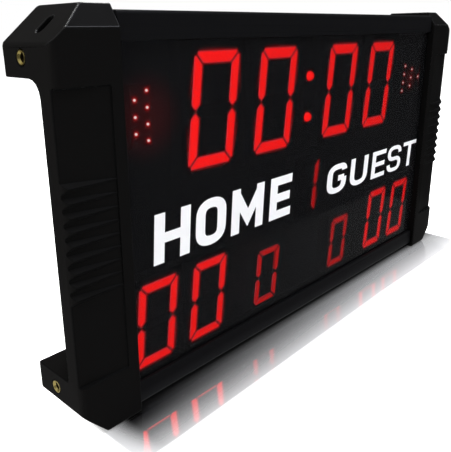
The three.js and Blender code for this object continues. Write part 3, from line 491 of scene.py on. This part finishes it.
# Each letter has its stroke, and where it starts and ends along the panel
letter_slant = math.tan(math.radians(4))
panel_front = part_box("front_panel")[0].y
words = {
    "home": {"foot": 95.0 * mm, "height": 33.8 * mm, "pressed": 0.76, "letters": [
        ("H", 9.0 * mm, -177.3 * mm, -145.4 * mm), ("O", 9.0 * mm, -140.0 * mm, -109.8 * mm),
        ("M", 9.0 * mm, -103.7 * mm, -67.2 * mm), ("E", 9.0 * mm, -59.1 * mm, -31.6 * mm)]},
    "guest": {"foot": 97.4 * mm, "height": 26.5 * mm, "pressed": 0.6, "letters": [
        ("G", 8.4 * mm, 21.6 * mm, 53.4 * mm), ("U", 7.6 * mm, 60.4 * mm, 92.0 * mm),
        ("E", 7.2 * mm, 100.4 * mm, 127.6 * mm), ("S", 6.4 * mm, 132.0 * mm, 161.4 * mm),
        ("T", 6.6 * mm, 165.4 * mm, 195.0 * mm)]},
}
for word, form in words.items():
    quads, mid = [], form["height"] / 2
    for letter, stroke, start, end in form["letters"]:
        for quad in letter_strokes(letter, end - start, form["height"], stroke, form["pressed"]):
            quads.append([
                Vector((start + p.x + (p.y - mid) * letter_slant, p.y)) for p in quad])
    print_film(f"printed_word_{word}", quads, (0, panel_front, form["foot"]), (1, 0, 0), (0, 0, 1),
               "housing")


# The digit modules are black PBT cases, filled from behind with red epoxy that reaches through
# seven windows. A lit segment is even across its face, and its light that creeps into the case is
# painted on it as a red glow.
# The modules are soldered to the display board.
through_panel = (1 - panel_face_alpha) ** 2
module_slant = math.tan(math.radians(6.5))
segment_gap, window_gap, window_depth, creep_reach = 1.3 * mm, 0.3 * mm, 1.4 * mm, 2.1 * mm
module_drive = {"clock": 1.0, "score": 0.88, "small": 0.47}
module_sizes = {
    "clock": dict(height=76.2 * mm, width=43.6 * mm, stroke=7.6 * mm, corner=3.4 * mm),
    "score": dict(height=58.4 * mm, width=33.8 * mm, stroke=6.0 * mm, corner=2.7 * mm),
    "small": dict(height=45.7 * mm, width=27.0 * mm, stroke=4.7 * mm, corner=2.1 * mm),
}

# Moulded black PBT, matt, with a painted red glow beside the lit windows, for light that has crept in
pbt, tree, shader, place = new_material("moulded_black_PBT")
creep = add(tree, "ShaderNodeAttribute", attribute_name="spill")
grain = add(tree, "ShaderNodeTexNoise", {"Vector": place, "Scale": 1 / grain_size, "Detail": 2.0})
tone = add(tree, "ShaderNodeMix", {0: grain, 6: "#060606", 7: "#0a0a0b"}, data_type="RGBA")
painted_case_glow = add(tree, "ShaderNodeMix", {
    0: creep.outputs["Fac"], 6: "#000000", 7: "#8c0707"}, data_type="RGBA")
connect(tree, shader, {
    "Base Color": tone.outputs[2], "Roughness": 0.6, "Specular IOR Level": 0.05,
    "Emission Color": painted_case_glow.outputs[2], "Emission Strength": 1 / through_panel})

# Red epoxy with a light behind it: full red in the middle of a segment, a cooler, paler red round
# its rim, and dimmer from the side, because the light-emitting dies shine forward
lit_epoxy, tree, shader, place = new_material("lit_red_epoxy")
core = add(tree, "ShaderNodeAttribute", attribute_name="core")
cloud = add(tree, "ShaderNodeTexNoise", {"Vector": place, "Scale": 1 / (7 * mm), "Detail": 2.0})
drive = add(tree, "ShaderNodeAttribute", attribute_name="drive")
turned = add(tree, "ShaderNodeLayerWeight", {"Blend": 0.5})
ahead = add(tree, "ShaderNodeMath", {0: 1.0, 1: turned.outputs["Facing"]}, operation="SUBTRACT")
beam = add(tree, "ShaderNodeMath", {0: ahead, 1: 0.7}, operation="POWER")
power = add(tree, "ShaderNodeMath", {0: beam, 1: drive.outputs["Fac"]}, operation="MULTIPLY")
strength = add(tree, "ShaderNodeMath", {0: power, 1: 1.2 / through_panel}, operation="MULTIPLY")
middle = add(tree, "ShaderNodeMix", {0: cloud, 6: "#f50d0d", 7: "#ff1410"}, data_type="RGBA")
light = add(tree, "ShaderNodeMix", {
    0: core.outputs["Fac"], 6: "#c9222c", 7: middle.outputs[2]}, data_type="RGBA")
connect(tree, shader, {
    "Base Color": "#3a0606", "Roughness": 0.3, "Specular IOR Level": 0.05,
    "Emission Color": light.outputs[2], "Emission Strength": strength})

# The same epoxy with no light behind it is a dark tinted filling
dark_epoxy = mottled(
    "unlit_red_epoxy", 2 * mm, ("#080505", "#0c0606"), (0.45,), detail=3.0, specular=0.05)


def segment_outlines(height, width, stroke, corner):
    """The seven segments: top, bottom, middle, upper right, upper left, lower right, lower left."""
    gap = segment_gap / math.sqrt(2)
    half, mid = width / 2, height / 2
    level = [(-half + corner, mid), (half - corner, mid), (half - corner / 2 - gap, mid - corner / 2),
             (half - stroke - gap, mid - stroke), (-half + stroke + gap, mid - stroke),
             (-half + corner / 2 + gap, mid - corner / 2)]
    upright = [(half, mid - corner), (half, stroke / 2 + gap), (half - stroke / 2, gap),
               (half - stroke, stroke / 2 + gap), (half - stroke, mid - stroke - gap),
               (half - corner / 2, mid - corner / 2 - gap)]
    cross = [(-half + stroke / 2 + gap, 0), (-half + stroke + gap, stroke / 2),
             (half - stroke - gap, stroke / 2), (half - stroke / 2 - gap, 0),
             (half - stroke - gap, -stroke / 2), (-half + stroke + gap, -stroke / 2)]
    flips = [(level, 1, 1), (level, 1, -1), (cross, 1, 1),
             (upright, 1, 1), (upright, -1, 1), (upright, 1, -1), (upright, -1, -1)]
    return [[Vector((x * a + z * b * module_slant, z * b)) for x, z in outline]
            for outline, a, b in flips]


def moved_out(outline, distance):
    """A convex outline, anticlockwise, with its sides moved out by a distance, or in if negative."""
    area = sum(a.x * b.y - b.x * a.y for a, b in zip(outline, outline[1:] + outline[:1]))
    ordered = outline if area > 0 else outline[::-1]
    moved = []
    for at, spot in enumerate(ordered):
        into = (spot - ordered[at - 1]).normalized()
        out = (ordered[(at + 1) % len(ordered)] - spot).normalized()
        normal = Vector((into.y + out.y, -into.x - out.x))
        moved.append(spot + normal * (distance / (1 + into.dot(out))))
    return moved


def soft_outline(outline, distance, radius):
    """The outline moved out by a distance, with round corners."""
    return rounded_path(moved_out(outline, distance), radius, closed=True, steps=4)


def ring_stack(shape, stack, layer, material_index):
    """Joins rings of equal length, each with its depth and its attribute, and closes both ends."""
    rings = []
    for points, depth, value in stack:
        ring = [shape.verts.new((point.x, depth, point.y)) for point in points]
        for vert in ring:
            vert[layer] = value
        rings.append(ring)
    made = []
    for one, other in zip(rings, rings[1:]):
        for at in range(len(one)):
            after = (at + 1) % len(one)
            made.append(shape.faces.new((one[at], one[after], other[after], other[at])))
    made += [shape.faces.new(rings[0]), shape.faces.new(rings[-1])]
    for face in made:
        face.material_index = material_index


def spill_at(point, outlines, spread):
    """How much light has crept to a point from the nearest lit outline: 1 at it, 0 past the spread."""
    nearest = spread
    for outline in outlines:
        for start, end in zip(outline, outline[1:] + outline[:1]):
            share = geometry.intersect_point_line(point, start, end)[1]
            spot = start.lerp(end, min(max(share, 0), 1))
            nearest = min(nearest, (point - spot).length)
    return (1 - nearest / spread) ** 3


def faced_block(name, low, high, front, windows, lit, spread, replaced):
    """A black block with chamfered front, wells at its windows, and points enough to carry the spill."""
    (x0, z0), (x1, z1) = low.xz, high.xz
    chamfer, margin = 0.4 * mm, 1.5 * mm
    corners = [Vector(p) for p in ((x0 + chamfer, z0 + chamfer), (x1 - chamfer, z0 + chamfer),
                                   (x1 - chamfer, z1 - chamfer), (x0 + chamfer, z1 - chamfer))]
    faces = [[0, 1, 2, 3]]
    for outline in windows:
        faces.append(list(range(len(corners), len(corners) + len(outline))))
        corners += outline
    for outline in lit:
        for distance in (0.7 * mm, 1.5 * mm, 2.6 * mm, 4.2 * mm):
            corners += [p for p in soft_outline(outline, distance, 1.5 * mm + distance)
                        if x0 + margin < p.x < x1 - margin and z0 + margin < p.y < z1 - margin]
    made, _, triangles, _, _, sources = geometry.delaunay_2d_cdt(corners, [], faces, 0, 1e-7)
    shape = bmesh.new()
    spill = shape.verts.layers.float.new("spill")
    verts = [shape.verts.new((point.x, front, point.y)) for point in made]
    for vert, point in zip(verts, made):
        vert[spill] = spill_at(point, lit, spread)
    for triangle, owners in zip(triangles, sources):
        if owners == [0]:
            shape.faces.new([verts[corner] for corner in triangle])
    border = [e for e in shape.edges if len(e.link_faces) == 1]
    ring = [e for e in border if all(v in verts[:4] for v in e.verts)]
    bmesh.ops.delete(shape, geom=[v for v in shape.verts if not v.link_faces], context="VERTS")
    wells = [e for e in border if e not in ring]
    deep = bmesh.ops.extrude_edge_only(shape, edges=wells)["geom"]
    for vert in of_kind(deep, bmesh.types.BMVert):
        vert.co.y = front + window_depth
    bmesh.ops.holes_fill(shape, edges=of_kind(deep, bmesh.types.BMEdge), sides=0)
    middle = low.lerp(high, 0.5)
    for depth in (front + chamfer, high.y):
        grown = bmesh.ops.extrude_edge_only(shape, edges=ring)["geom"]
        ring = of_kind(grown, bmesh.types.BMEdge)
        for vert in of_kind(grown, bmesh.types.BMVert):
            vert.co = (x0 if vert.co.x < middle.x else x1, depth, z0 if vert.co.z < middle.z else z1)
            vert[spill] = 0.0
    bmesh.ops.holes_fill(shape, edges=ring, sides=0)
    settle(name, finished(shape, name, 30), pbt, "housing", replaced)


# All digits show a nought but one, which shows a one
lit_zero, lit_one = (0, 1, 3, 4, 5, 6), (3, 5)
modules = {}
for pair, size in (("clock_minute", "clock"), ("clock_second", "clock"),
                   ("home_score", "score"), ("guest_score", "score")):
    modules.update({f"{pair}_tens": size, f"{pair}_ones": size})
modules.update(home_fouls="small", guest_fouls="small", period="small")
for name, size in modules.items():
    form = module_sizes[size]
    lit = lit_one if name == "period" else lit_zero
    low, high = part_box(f"{name}_case")
    centre = Vector(((low.x + high.x) / 2, (low.z + high.z) / 2))
    outlines = [[p + centre for p in outline] for outline in segment_outlines(**form)]
    soft = form["stroke"] * 0.2
    windows = [soft_outline(outline, window_gap, soft) for outline in outlines]
    faced_block(f"module_case_{name}", low, high, low.y, windows, [outlines[at] for at in lit],
                creep_reach, [f"{name}_case"])
    shape = bmesh.new()
    core = shape.verts.layers.float.new("core")
    drive = shape.verts.layers.float.new("drive")
    # A lens rises from its well to a gently crowned face, which is brightest in its middle
    for at, outline in enumerate(outlines):
        ring_stack(shape, [
            (soft_outline(outline, 0, soft), low.y + window_depth * 0.9, 0.0),
            (soft_outline(outline, 0, soft), low.y + 0.2 * mm, 0.0),
            (soft_outline(outline, -0.2 * mm, soft * 0.95), low.y, 0.0),
            (soft_outline(outline, -0.8 * mm, soft * 0.8), low.y - 0.02 * mm, 0.75),
            (soft_outline(outline, -1.3 * mm, soft * 0.7), low.y - 0.03 * mm, 1.0),
        ], core, 0 if at in lit else 1)
    for vert in shape.verts:
        vert[drive] = module_drive[size]
    mesh = finished(shape, f"module_lenses_{name}", 50)
    mesh.materials.append(lit_epoxy)
    mesh.materials.append(dark_epoxy)
    settle(f"module_lenses_{name}", mesh, None, "housing", [f"{name}_segments"])


# The lamps are domed light-emitting diodes in black spacer bars: two large ones for the colon and
# small ones for the arrows, whose bars lift them close behind the panel.

# Clear red epoxy domes: nearly white where the chip's light comes straight out, red at the side
dome_epoxy, tree, shader, place = new_material("lit_clear_red_dome")
facing = add(tree, "ShaderNodeLayerWeight", {"Blend": 0.5})
core = add(tree, "ShaderNodeMapRange", {
    "Value": facing.outputs["Facing"], "From Min": 0.02, "From Max": 0.3, "To Min": 1.0, "To Max": 0.0},
    interpolation_type="SMOOTHSTEP")
flaw = add(tree, "ShaderNodeTexNoise", {"Vector": place, "Scale": 1 / (1.5 * mm), "Detail": 2.0})
side_light = add(tree, "ShaderNodeMix", {0: flaw, 6: "#8e0c0c", 7: "#b01212"}, data_type="RGBA")
light = add(tree, "ShaderNodeMix", {
    0: core, 6: side_light.outputs[2], 7: "#ffdcd8"}, data_type="RGBA")
drive = add(tree, "ShaderNodeAttribute", attribute_name="drive")
strength = add(tree, "ShaderNodeMath", {
    0: drive.outputs["Fac"], 1: 1 / through_panel}, operation="MULTIPLY")
connect(tree, shader, {
    "Base Color": "#6a0f0d", "Roughness": 0.12, "Specular IOR Level": 0.3,
    "Emission Color": light.outputs[2], "Emission Strength": strength})

lamp_margin, lamp_foot, lamp_creep_reach = 2.2 * mm, 0.2 * mm, 2.45 * mm
lamp_groups = {
    "colon_lamps": dict(
        radius=4 * mm, columns=[2], row_pitch=33 * mm, lean=0.045, epoxy=lit_epoxy, drive=0.9),
    "home_arrow_lamps": dict(
        radius=1.5 * mm, columns=[3, 4], row_pitch=10 * mm, lean=0.0, epoxy=dome_epoxy, drive=0.78),
    "guest_arrow_lamps": dict(
        radius=1.5 * mm, columns=[4, 3, 1], row_pitch=8.1 * mm, lean=0.13, epoxy=dome_epoxy, drive=0.4),
}
for name, form in lamp_groups.items():
    low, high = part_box(name)
    radius, columns, pitch = form["radius"], form["columns"], form["row_pitch"]
    inset = radius + lamp_margin
    middle_z = (low.z + high.z) / 2
    tilt = form["lean"] * pitch * (columns[0] - 1) / 2
    first_x = low.x + inset + tilt
    last_x = high.x - inset - (tilt if len(columns) == 1 else 0)
    spots = []
    for column, rows in enumerate(columns):
        along = column / max(len(columns) - 1, 1)
        for row in range(rows):
            up = (row - (rows - 1) / 2) * pitch
            spots.append(Vector((
                first_x + (last_x - first_x) * along + up * form["lean"], middle_z + up)))
    face = low.y + radius
    around = [[spot + Vector((math.cos(a), math.sin(a))) * radius * 0.9
               for a in np.linspace(0, math.tau, 13)[:-1]] for spot in spots]
    faced_block(f"lamp_bar_{name}", low, high, face, [], around, lamp_creep_reach, [])
    # A lamp is a round foot in the bar with a dome on it
    dome = [(radius * math.cos(a), -radius * math.sin(a)) for a in np.linspace(0, math.pi / 2, 9)[:-1]]
    profile = [(0, lamp_foot), (radius, lamp_foot)] + dome + [(0, -radius)]
    shape = bmesh.new()
    core = shape.verts.layers.float.new("core")
    drive = shape.verts.layers.float.new("drive")
    for spot in spots:
        for loop in lathe(shape, profile, (spot.x, face, spot.y), (0, 1, 0), 24):
            for vert in loop:
                vert[core], vert[drive] = 1.0, form["drive"]
    settle(f"lamps_{name}", finished(shape, f"lamps_{name}", 60), form["epoxy"], "housing",
           [name])


# The display board is a sheet of glass-epoxy laminate with black solder mask. It slides into the
# rails behind the panel and carries the modules, the lamps and the ribbon's socket.

# Black mask, nearly without gloss, so the board stays dark behind the panel
black_mask = mottled(
    "black_solder_mask", 12 * mm, ("#050505", "#080808"), (0.5,), detail=4.0, specular=0.05)
coat(black_mask, "display_board")


# The back cover is 2 mm sheet steel, punched with keyholes, air slots and the holes of what it
# carries, then powder coated black. It slides into the rails like the panel.

# Powder coat: a satin film with a gentle orange peel, about 1.5 mm from hump to hump
peel_size = 1.5 * mm
powder, tree, shader, place = new_material("black_powder_coat")
peel = add(tree, "ShaderNodeTexNoise", {"Vector": place, "Scale": 1 / peel_size, "Detail": 2.0})
lighter_share = add(tree, "ShaderNodeTexNoise", {"Vector": place, "Scale": 1 / (30 * mm), "Detail": 5.0})
tone = add(tree, "ShaderNodeMix", {0: lighter_share, 6: "#101112", 7: "#1a1b1d"}, data_type="RGBA")
satin = add(tree, "ShaderNodeMapRange", {
    "Value": lighter_share, "From Min": 0.3, "From Max": 0.7, "To Min": 0.38, "To Max": 0.5})
bump = add(tree, "ShaderNodeBump", {"Height": peel, "Strength": 0.35, "Distance": 0.08 * mm})
connect(tree, shader, {
    "Base Color": tone.outputs[2], "Roughness": satin, "Normal": bump, "Specular IOR Level": 0.3})
coat(powder, "back_cover")


# The controller and supply boards stand on the back cover's posts, with their tallest parts. They
# are green glass-epoxy boards, and little of them is seen through the air slots.

# Green mask over copper tracks: the tracks run across or upright in patches, 2.4 mm apart. The
# bands of a wave texture lie tau / 20 apart at scale 1
track_pitch, patch_size = 2.4 * mm, 15 * mm
green_mask, tree, shader, place = new_material("green_solder_mask")
patch = add(tree, "ShaderNodeTexNoise", {"Vector": place, "Scale": 1 / patch_size})
pick = add(tree, "ShaderNodeMapRange", {"Value": patch, "From Min": 0.49, "From Max": 0.51})
runs = [add(tree, "ShaderNodeTexWave", {
    "Vector": place, "Scale": math.tau / (20 * track_pitch)},
    bands_direction=way) for way in ("X", "Z")]
laid = add(tree, "ShaderNodeMix", {0: pick, 2: runs[0].outputs["Fac"], 3: runs[1].outputs["Fac"]})
copper = add(tree, "ShaderNodeMapRange", {"Value": laid, "From Min": 0.6, "From Max": 0.7})
tone = add(tree, "ShaderNodeMix", {0: copper, 6: "#124a29", 7: "#1d6a3b"}, data_type="RGBA")
bump = add(tree, "ShaderNodeBump", {"Height": copper, "Strength": 0.4, "Distance": 0.03 * mm})
connect(tree, shader, {"Base Color": tone.outputs[2], "Roughness": 0.32, "Normal": bump})
coat(green_mask, "controller_board", "supply_board")


# The wiring: a grey flat ribbon between the two boards' sockets, and round leads in black PVC to
# the inlet, the switch and the sounder.

# Flat cable: grey PVC in parallel cores, 1.27 mm apart, each with a soft round back
core_pitch = 1.27 * mm
flat_cable, tree, shader, place = new_material("grey_PVC_flat_cable")
cores = add(tree, "ShaderNodeTexWave", {"Vector": place, "Scale": math.tau / (20 * core_pitch)})
tone = add(tree, "ShaderNodeMix", {
    0: cores.outputs["Fac"], 6: "#5e6266", 7: "#8b8f94"}, data_type="RGBA")
bump = add(tree, "ShaderNodeBump", {
    "Height": cores.outputs["Fac"], "Strength": 0.5, "Distance": 0.2 * mm})
connect(tree, shader, {"Base Color": tone.outputs[2], "Roughness": 0.5, "Normal": bump})
coat(flat_cable, "ribbon_cable")

# Black PVC insulation: a soft low gloss with a slight waviness from the extruder
pvc = mottled(
    "black_PVC_insulation", 5 * mm, ("#0e0f0f", "#18191a"), (0.45,), relief=(0.2, 0.1 * mm))
coat(pvc, "lead_inlet", "lead_switch", "lead_controller", "lead_sounder")


# The sounder sits in its collar behind six holes. The power inlet is a round connector through the
# back, held by a nickel-plated hexagon nut, and the switch snaps into its cut-out beside it. All
# three have bodies of moulded black nylon.

# Moulded nylon: smooth and a little glossy, with faint flow marks
nylon = mottled(
    "moulded_black_nylon", 4 * mm, ("#0f1011", "#191a1c"), (0.26, 0.38), between=(0.3, 0.7),
    detail=3.0, distortion=0.5, specular=0.4)
coat(nylon, "sounder")
rounded_copy("inlet_connector", "power_inlet", nylon, 0.25 * mm)
rounded_copy("switch_housing", "switch_body", nylon, 0.3 * mm)
rounded_copy("rocker_button", "power_rocker", nylon, 0.3 * mm, body="rocker")

# A bar and a ring, the common marks for on and off, are pad printed on the rocker's two halves
mark_width, mark_radius = 0.6 * mm, 1.5 * mm
mark_bar = band([Vector((0, -1.7 * mm)), Vector((0, 1.7 * mm))], mark_width)
circle = [Vector((math.cos(a), math.sin(a))) * mark_radius for a in np.linspace(0, math.tau, 25)[:-1]]
mark_ring = band(circle, mark_width, closed=True)
low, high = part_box("power_rocker")
halves = [[], []]
for face in nodes["power_rocker"].data.polygons:
    if face.normal.y > 0.9 and face.area > 20 * mm ** 2:
        halves[face.center.z > low.lerp(high, 0.5).z].append(face)
for name, quads, half in (("off", mark_ring, halves[0]), ("on", mark_bar, halves[1])):
    centre = sum((face.center for face in half), Vector()) / len(half)
    up = half[0].normal.cross(Vector((-1, 0, 0)))
    print_film(f"rocker_mark_{name}", quads, centre, (-1, 0, 0), up, "rocker")

# Bright nickel over brass: a clean pale metal with soft wear
nickel = mottled(
    "bright_nickel_plate", 2 * mm, ("#c9c6bf",), (0.14, 0.32), detail=4.0, metallic=1.0)
rounded_copy("inlet_nut", "power_inlet_nut", nickel, 0.3 * mm)


# The studio: a light table of opal acrylic, lit from below and polished, so it stays white and
# mirrors the foot of the object. Soft lamps hang over it in a dim room.

# The polish is strongest at the object's foot and on the left. It ends in a front edge that slants
# a little across the table and turns back in a round corner
table_size, polish_left, polish_right, polish_corner = 12.0, -0.2285, 0.254, 0.010
opal, tree, matt, place = new_material("lit_opal_acrylic")
apart = add(tree, "ShaderNodeSeparateXYZ", {"Vector": place})
front = add(tree, "ShaderNodeMapRange", {
    "Value": apart.outputs["X"], "From Min": -0.2, "From Max": 0.07,
    "To Min": -0.0605, "To Max": -0.0545})
inwards = add(tree, "ShaderNodeMath", {0: apart.outputs["Y"], 1: front}, operation="SUBTRACT")
near_side = add(tree, "ShaderNodeMath", {
    0: polish_left + polish_corner, 1: apart.outputs["X"]}, operation="SUBTRACT")
near_front = add(tree, "ShaderNodeMath", {0: polish_corner, 1: inwards}, operation="SUBTRACT")
offset = add(tree, "ShaderNodeCombineXYZ", {"X": near_side, "Y": near_front})
offset = add(tree, "ShaderNodeVectorMath", {0: offset, 1: (0.0, 0.0, 0.0)}, operation="MAXIMUM")
offset = add(tree, "ShaderNodeVectorMath", {0: offset}, operation="LENGTH")
# The polish fades out at the round corner, at its left and right ends, and behind the object
edges = [(offset.outputs["Value"], polish_corner + 0.002, polish_corner - 0.002, 0.0),
         (apart.outputs["X"], polish_left, polish_left + 0.020, 0.62),
         (apart.outputs["X"], polish_right + 0.003, polish_right - 0.003, 0.0),
         (apart.outputs["Y"], 0.030, 0.024, 0.0)]
mask = 1.0
for value, start, end, least in edges:
    share = add(tree, "ShaderNodeMapRange", {
        "Value": value, "From Min": start, "From Max": end, "To Min": least, "To Max": 1.0},
        interpolation_type="SMOOTHSTEP")
    mask = add(tree, "ShaderNodeMath", {0: mask, 1: share}, operation="MULTIPLY")
# A white veil lies over it, densest at the front edge, and a faint one over its right part
out = add(tree, "ShaderNodeMapRange", {"Value": inwards, "From Min": 0.034, "From Max": 0.0})
veil = add(tree, "ShaderNodeMath", {0: out, 1: 1.6}, operation="POWER")
across = add(tree, "ShaderNodeMapRange", {
    "Value": apart.outputs["X"], "From Min": -0.2, "From Max": 0.15, "To Min": 0.0, "To Max": 0.18})
clear = add(tree, "ShaderNodeMapRange", {
    "Value": apart.outputs["Y"], "From Min": -0.018, "From Max": -0.027})
haze = add(tree, "ShaderNodeMath", {0: across, 1: clear}, operation="MULTIPLY")
white_share = add(tree, "ShaderNodeMath", {0: veil, 1: 0.37, 2: haze}, operation="MULTIPLY_ADD")
polished = add(tree, "ShaderNodeMath", {0: 1.0, 1: white_share}, operation="SUBTRACT")
mirror = add(tree, "ShaderNodeMath", {0: mask, 1: polished}, operation="MULTIPLY")
skin = add(tree, "ShaderNodeTexNoise", {"Vector": place, "Scale": 40.0})
white = add(tree, "ShaderNodeMix", {0: skin, 6: "#f8f8f8", 7: "#fcfcfc"}, data_type="RGBA")
# Its own glow is drawn for the camera alone, so that it adds no light to the object
ray = add(tree, "ShaderNodeLightPath")
lift = add(tree, "ShaderNodeMath", {0: ray.outputs["Is Camera Ray"], 1: 0.8}, operation="MULTIPLY")
connect(tree, matt, {
    "Base Color": white.outputs[2], "Roughness": 0.6, "Specular IOR Level": 0.0,
    "Emission Color": "#ffffff", "Emission Strength": lift})
polish = add(tree, "ShaderNodeBsdfGlossy", {"Color": "#ffffff", "Roughness": 0.03})
mixed = add(tree, "ShaderNodeMixShader", {0: mirror, 1: matt, 2: polish})
# In the object's polished faces the table is an even pale grey
even = add(tree, "ShaderNodeEmission", {"Color": white.outputs[2], "Strength": 0.63})
seen = add(tree, "ShaderNodeMixShader", {0: ray.outputs["Is Glossy Ray"], 1: mixed, 2: even})
connect(tree, tree.nodes["Material Output"], {"Surface": seen})

# Grey felt lies all round, away from the object, and shows only in its polished faces
felt, tree, shader, place = new_material("grey_felt")
pile = add(tree, "ShaderNodeTexNoise", {"Vector": place, "Scale": 300.0})
tone = add(tree, "ShaderNodeMix", {0: pile, 6: "#868686", 7: "#929292"}, data_type="RGBA")
cloth = add(tree, "ShaderNodeEmission", {"Color": tone.outputs[2], "Strength": 0.45})
tree.nodes.remove(shader)
connect(tree, tree.nodes["Material Output"], {"Surface": cloth})


def sheet(name, corners, faces, material):
    """A flat piece of the stage."""
    mesh = bpy.data.meshes.new(name)
    mesh.from_pydata(corners, [], faces)
    mesh.materials.append(material)
    made = bpy.data.objects.new(name, mesh)
    bpy.context.scene.collection.objects.link(made)
    return made


reach, felt_level = table_size / 2, 0.002
sheet("light_table", [(-reach, -reach, 0), (reach, -reach, 0), (reach, reach, 0), (-reach, reach, 0)],
      [(0, 1, 2, 3)], opal)
near = [(-0.4, -0.165), (0.36, -0.15), (0.36, 0.2), (-0.4, 0.2)]
far = [(-9, -9), (9, -9), (9, 9), (-9, 9)]
drape = sheet("grey_drape", [(x, y, felt_level) for x, y in near + far],
              [(0, 4, 5, 1), (1, 5, 6, 2), (2, 6, 7, 3), (3, 7, 4, 0)], felt)
drape.visible_camera = drape.visible_diffuse = drape.visible_shadow = False

# The room is white to the camera and dim to the object, whose faces mirror it darker lower down
world = bpy.data.worlds.new("studio")
bpy.context.scene.world = world
world.use_nodes = True
tree = world.node_tree
tree.nodes.clear()
ray = add(tree, "ShaderNodeLightPath")
way = add(tree, "ShaderNodeTexCoord")
apart = add(tree, "ShaderNodeSeparateXYZ", {"Vector": way.outputs["Generated"]})
mirrored = add(tree, "ShaderNodeMapRange", {
    "Value": apart.outputs["Z"], "From Min": 0.1, "From Max": 0.9, "To Min": 0.08, "To Max": 0.6})
shine = add(tree, "ShaderNodeMix", {0: ray.outputs["Is Glossy Ray"], 2: 0.45, 3: mirrored})
strength = add(tree, "ShaderNodeMix", {0: ray.outputs["Is Camera Ray"], 2: shine, 3: 1.0})
sky = add(tree, "ShaderNodeBackground", {"Color": "#ffffff", "Strength": strength})
add(tree, "ShaderNodeOutputWorld", {"Surface": sky})

# A lamp's power is its radiance times pi times its area, so a small one shines brightly in an edge
lamps = {
    "overhead": dict(spot=(0.84, -0.61, 1.69), size=0.9, radiance=8.6, tint="#f1f4ff"),
    "above": dict(spot=(-0.02, 0.30, 1.9), size=0.3, radiance=40.0, tint="#ffffff"),
    "behind_right": dict(spot=(0.81, 0.89, 1.41), size=0.3, radiance=30.0, tint="#ffffff"),
    "left": dict(spot=(-1.35, 0.35, 0.75), size=0.9, radiance=7.0, tint="#ffffff"),
}
for name, form in lamps.items():
    light = bpy.data.lights.new(name, "AREA")
    light.shape = "SQUARE"
    light.size = form["size"]
    light.energy = form["radiance"] * math.pi * form["size"] ** 2
    light.color = linear(form["tint"])[:3]
    lamp = bpy.data.objects.new(name, light)
    lamp.location = form["spot"]
    lamp.rotation_euler = (-Vector(form["spot"])).to_track_quat("-Z", "Y").to_euler()
    # The left lamp lights the cap's side, but its image would run down every edge there
    lamp.visible_glossy = name != "left"
    bpy.context.scene.collection.objects.link(lamp)

# The camera stands left of the object and a little above it, close enough for a strong perspective
lens = bpy.data.cameras.new("camera")
lens.sensor_fit = "HORIZONTAL"
lens.sensor_width = 36
lens.lens = 44.7067
lens.shift_x, lens.shift_y = 0.04316, -0.04255
camera = bpy.data.objects.new("camera", lens)
camera.location = (-390.36 * mm, -273.37 * mm, 237.88 * mm)
camera.rotation_euler = [math.radians(turn) for turn in (72.5831, 0.7973, -45.8579)]
bpy.context.scene.collection.objects.link(camera)
bpy.context.scene.camera = camera
bpy.context.scene.view_settings.view_transform = "Standard"
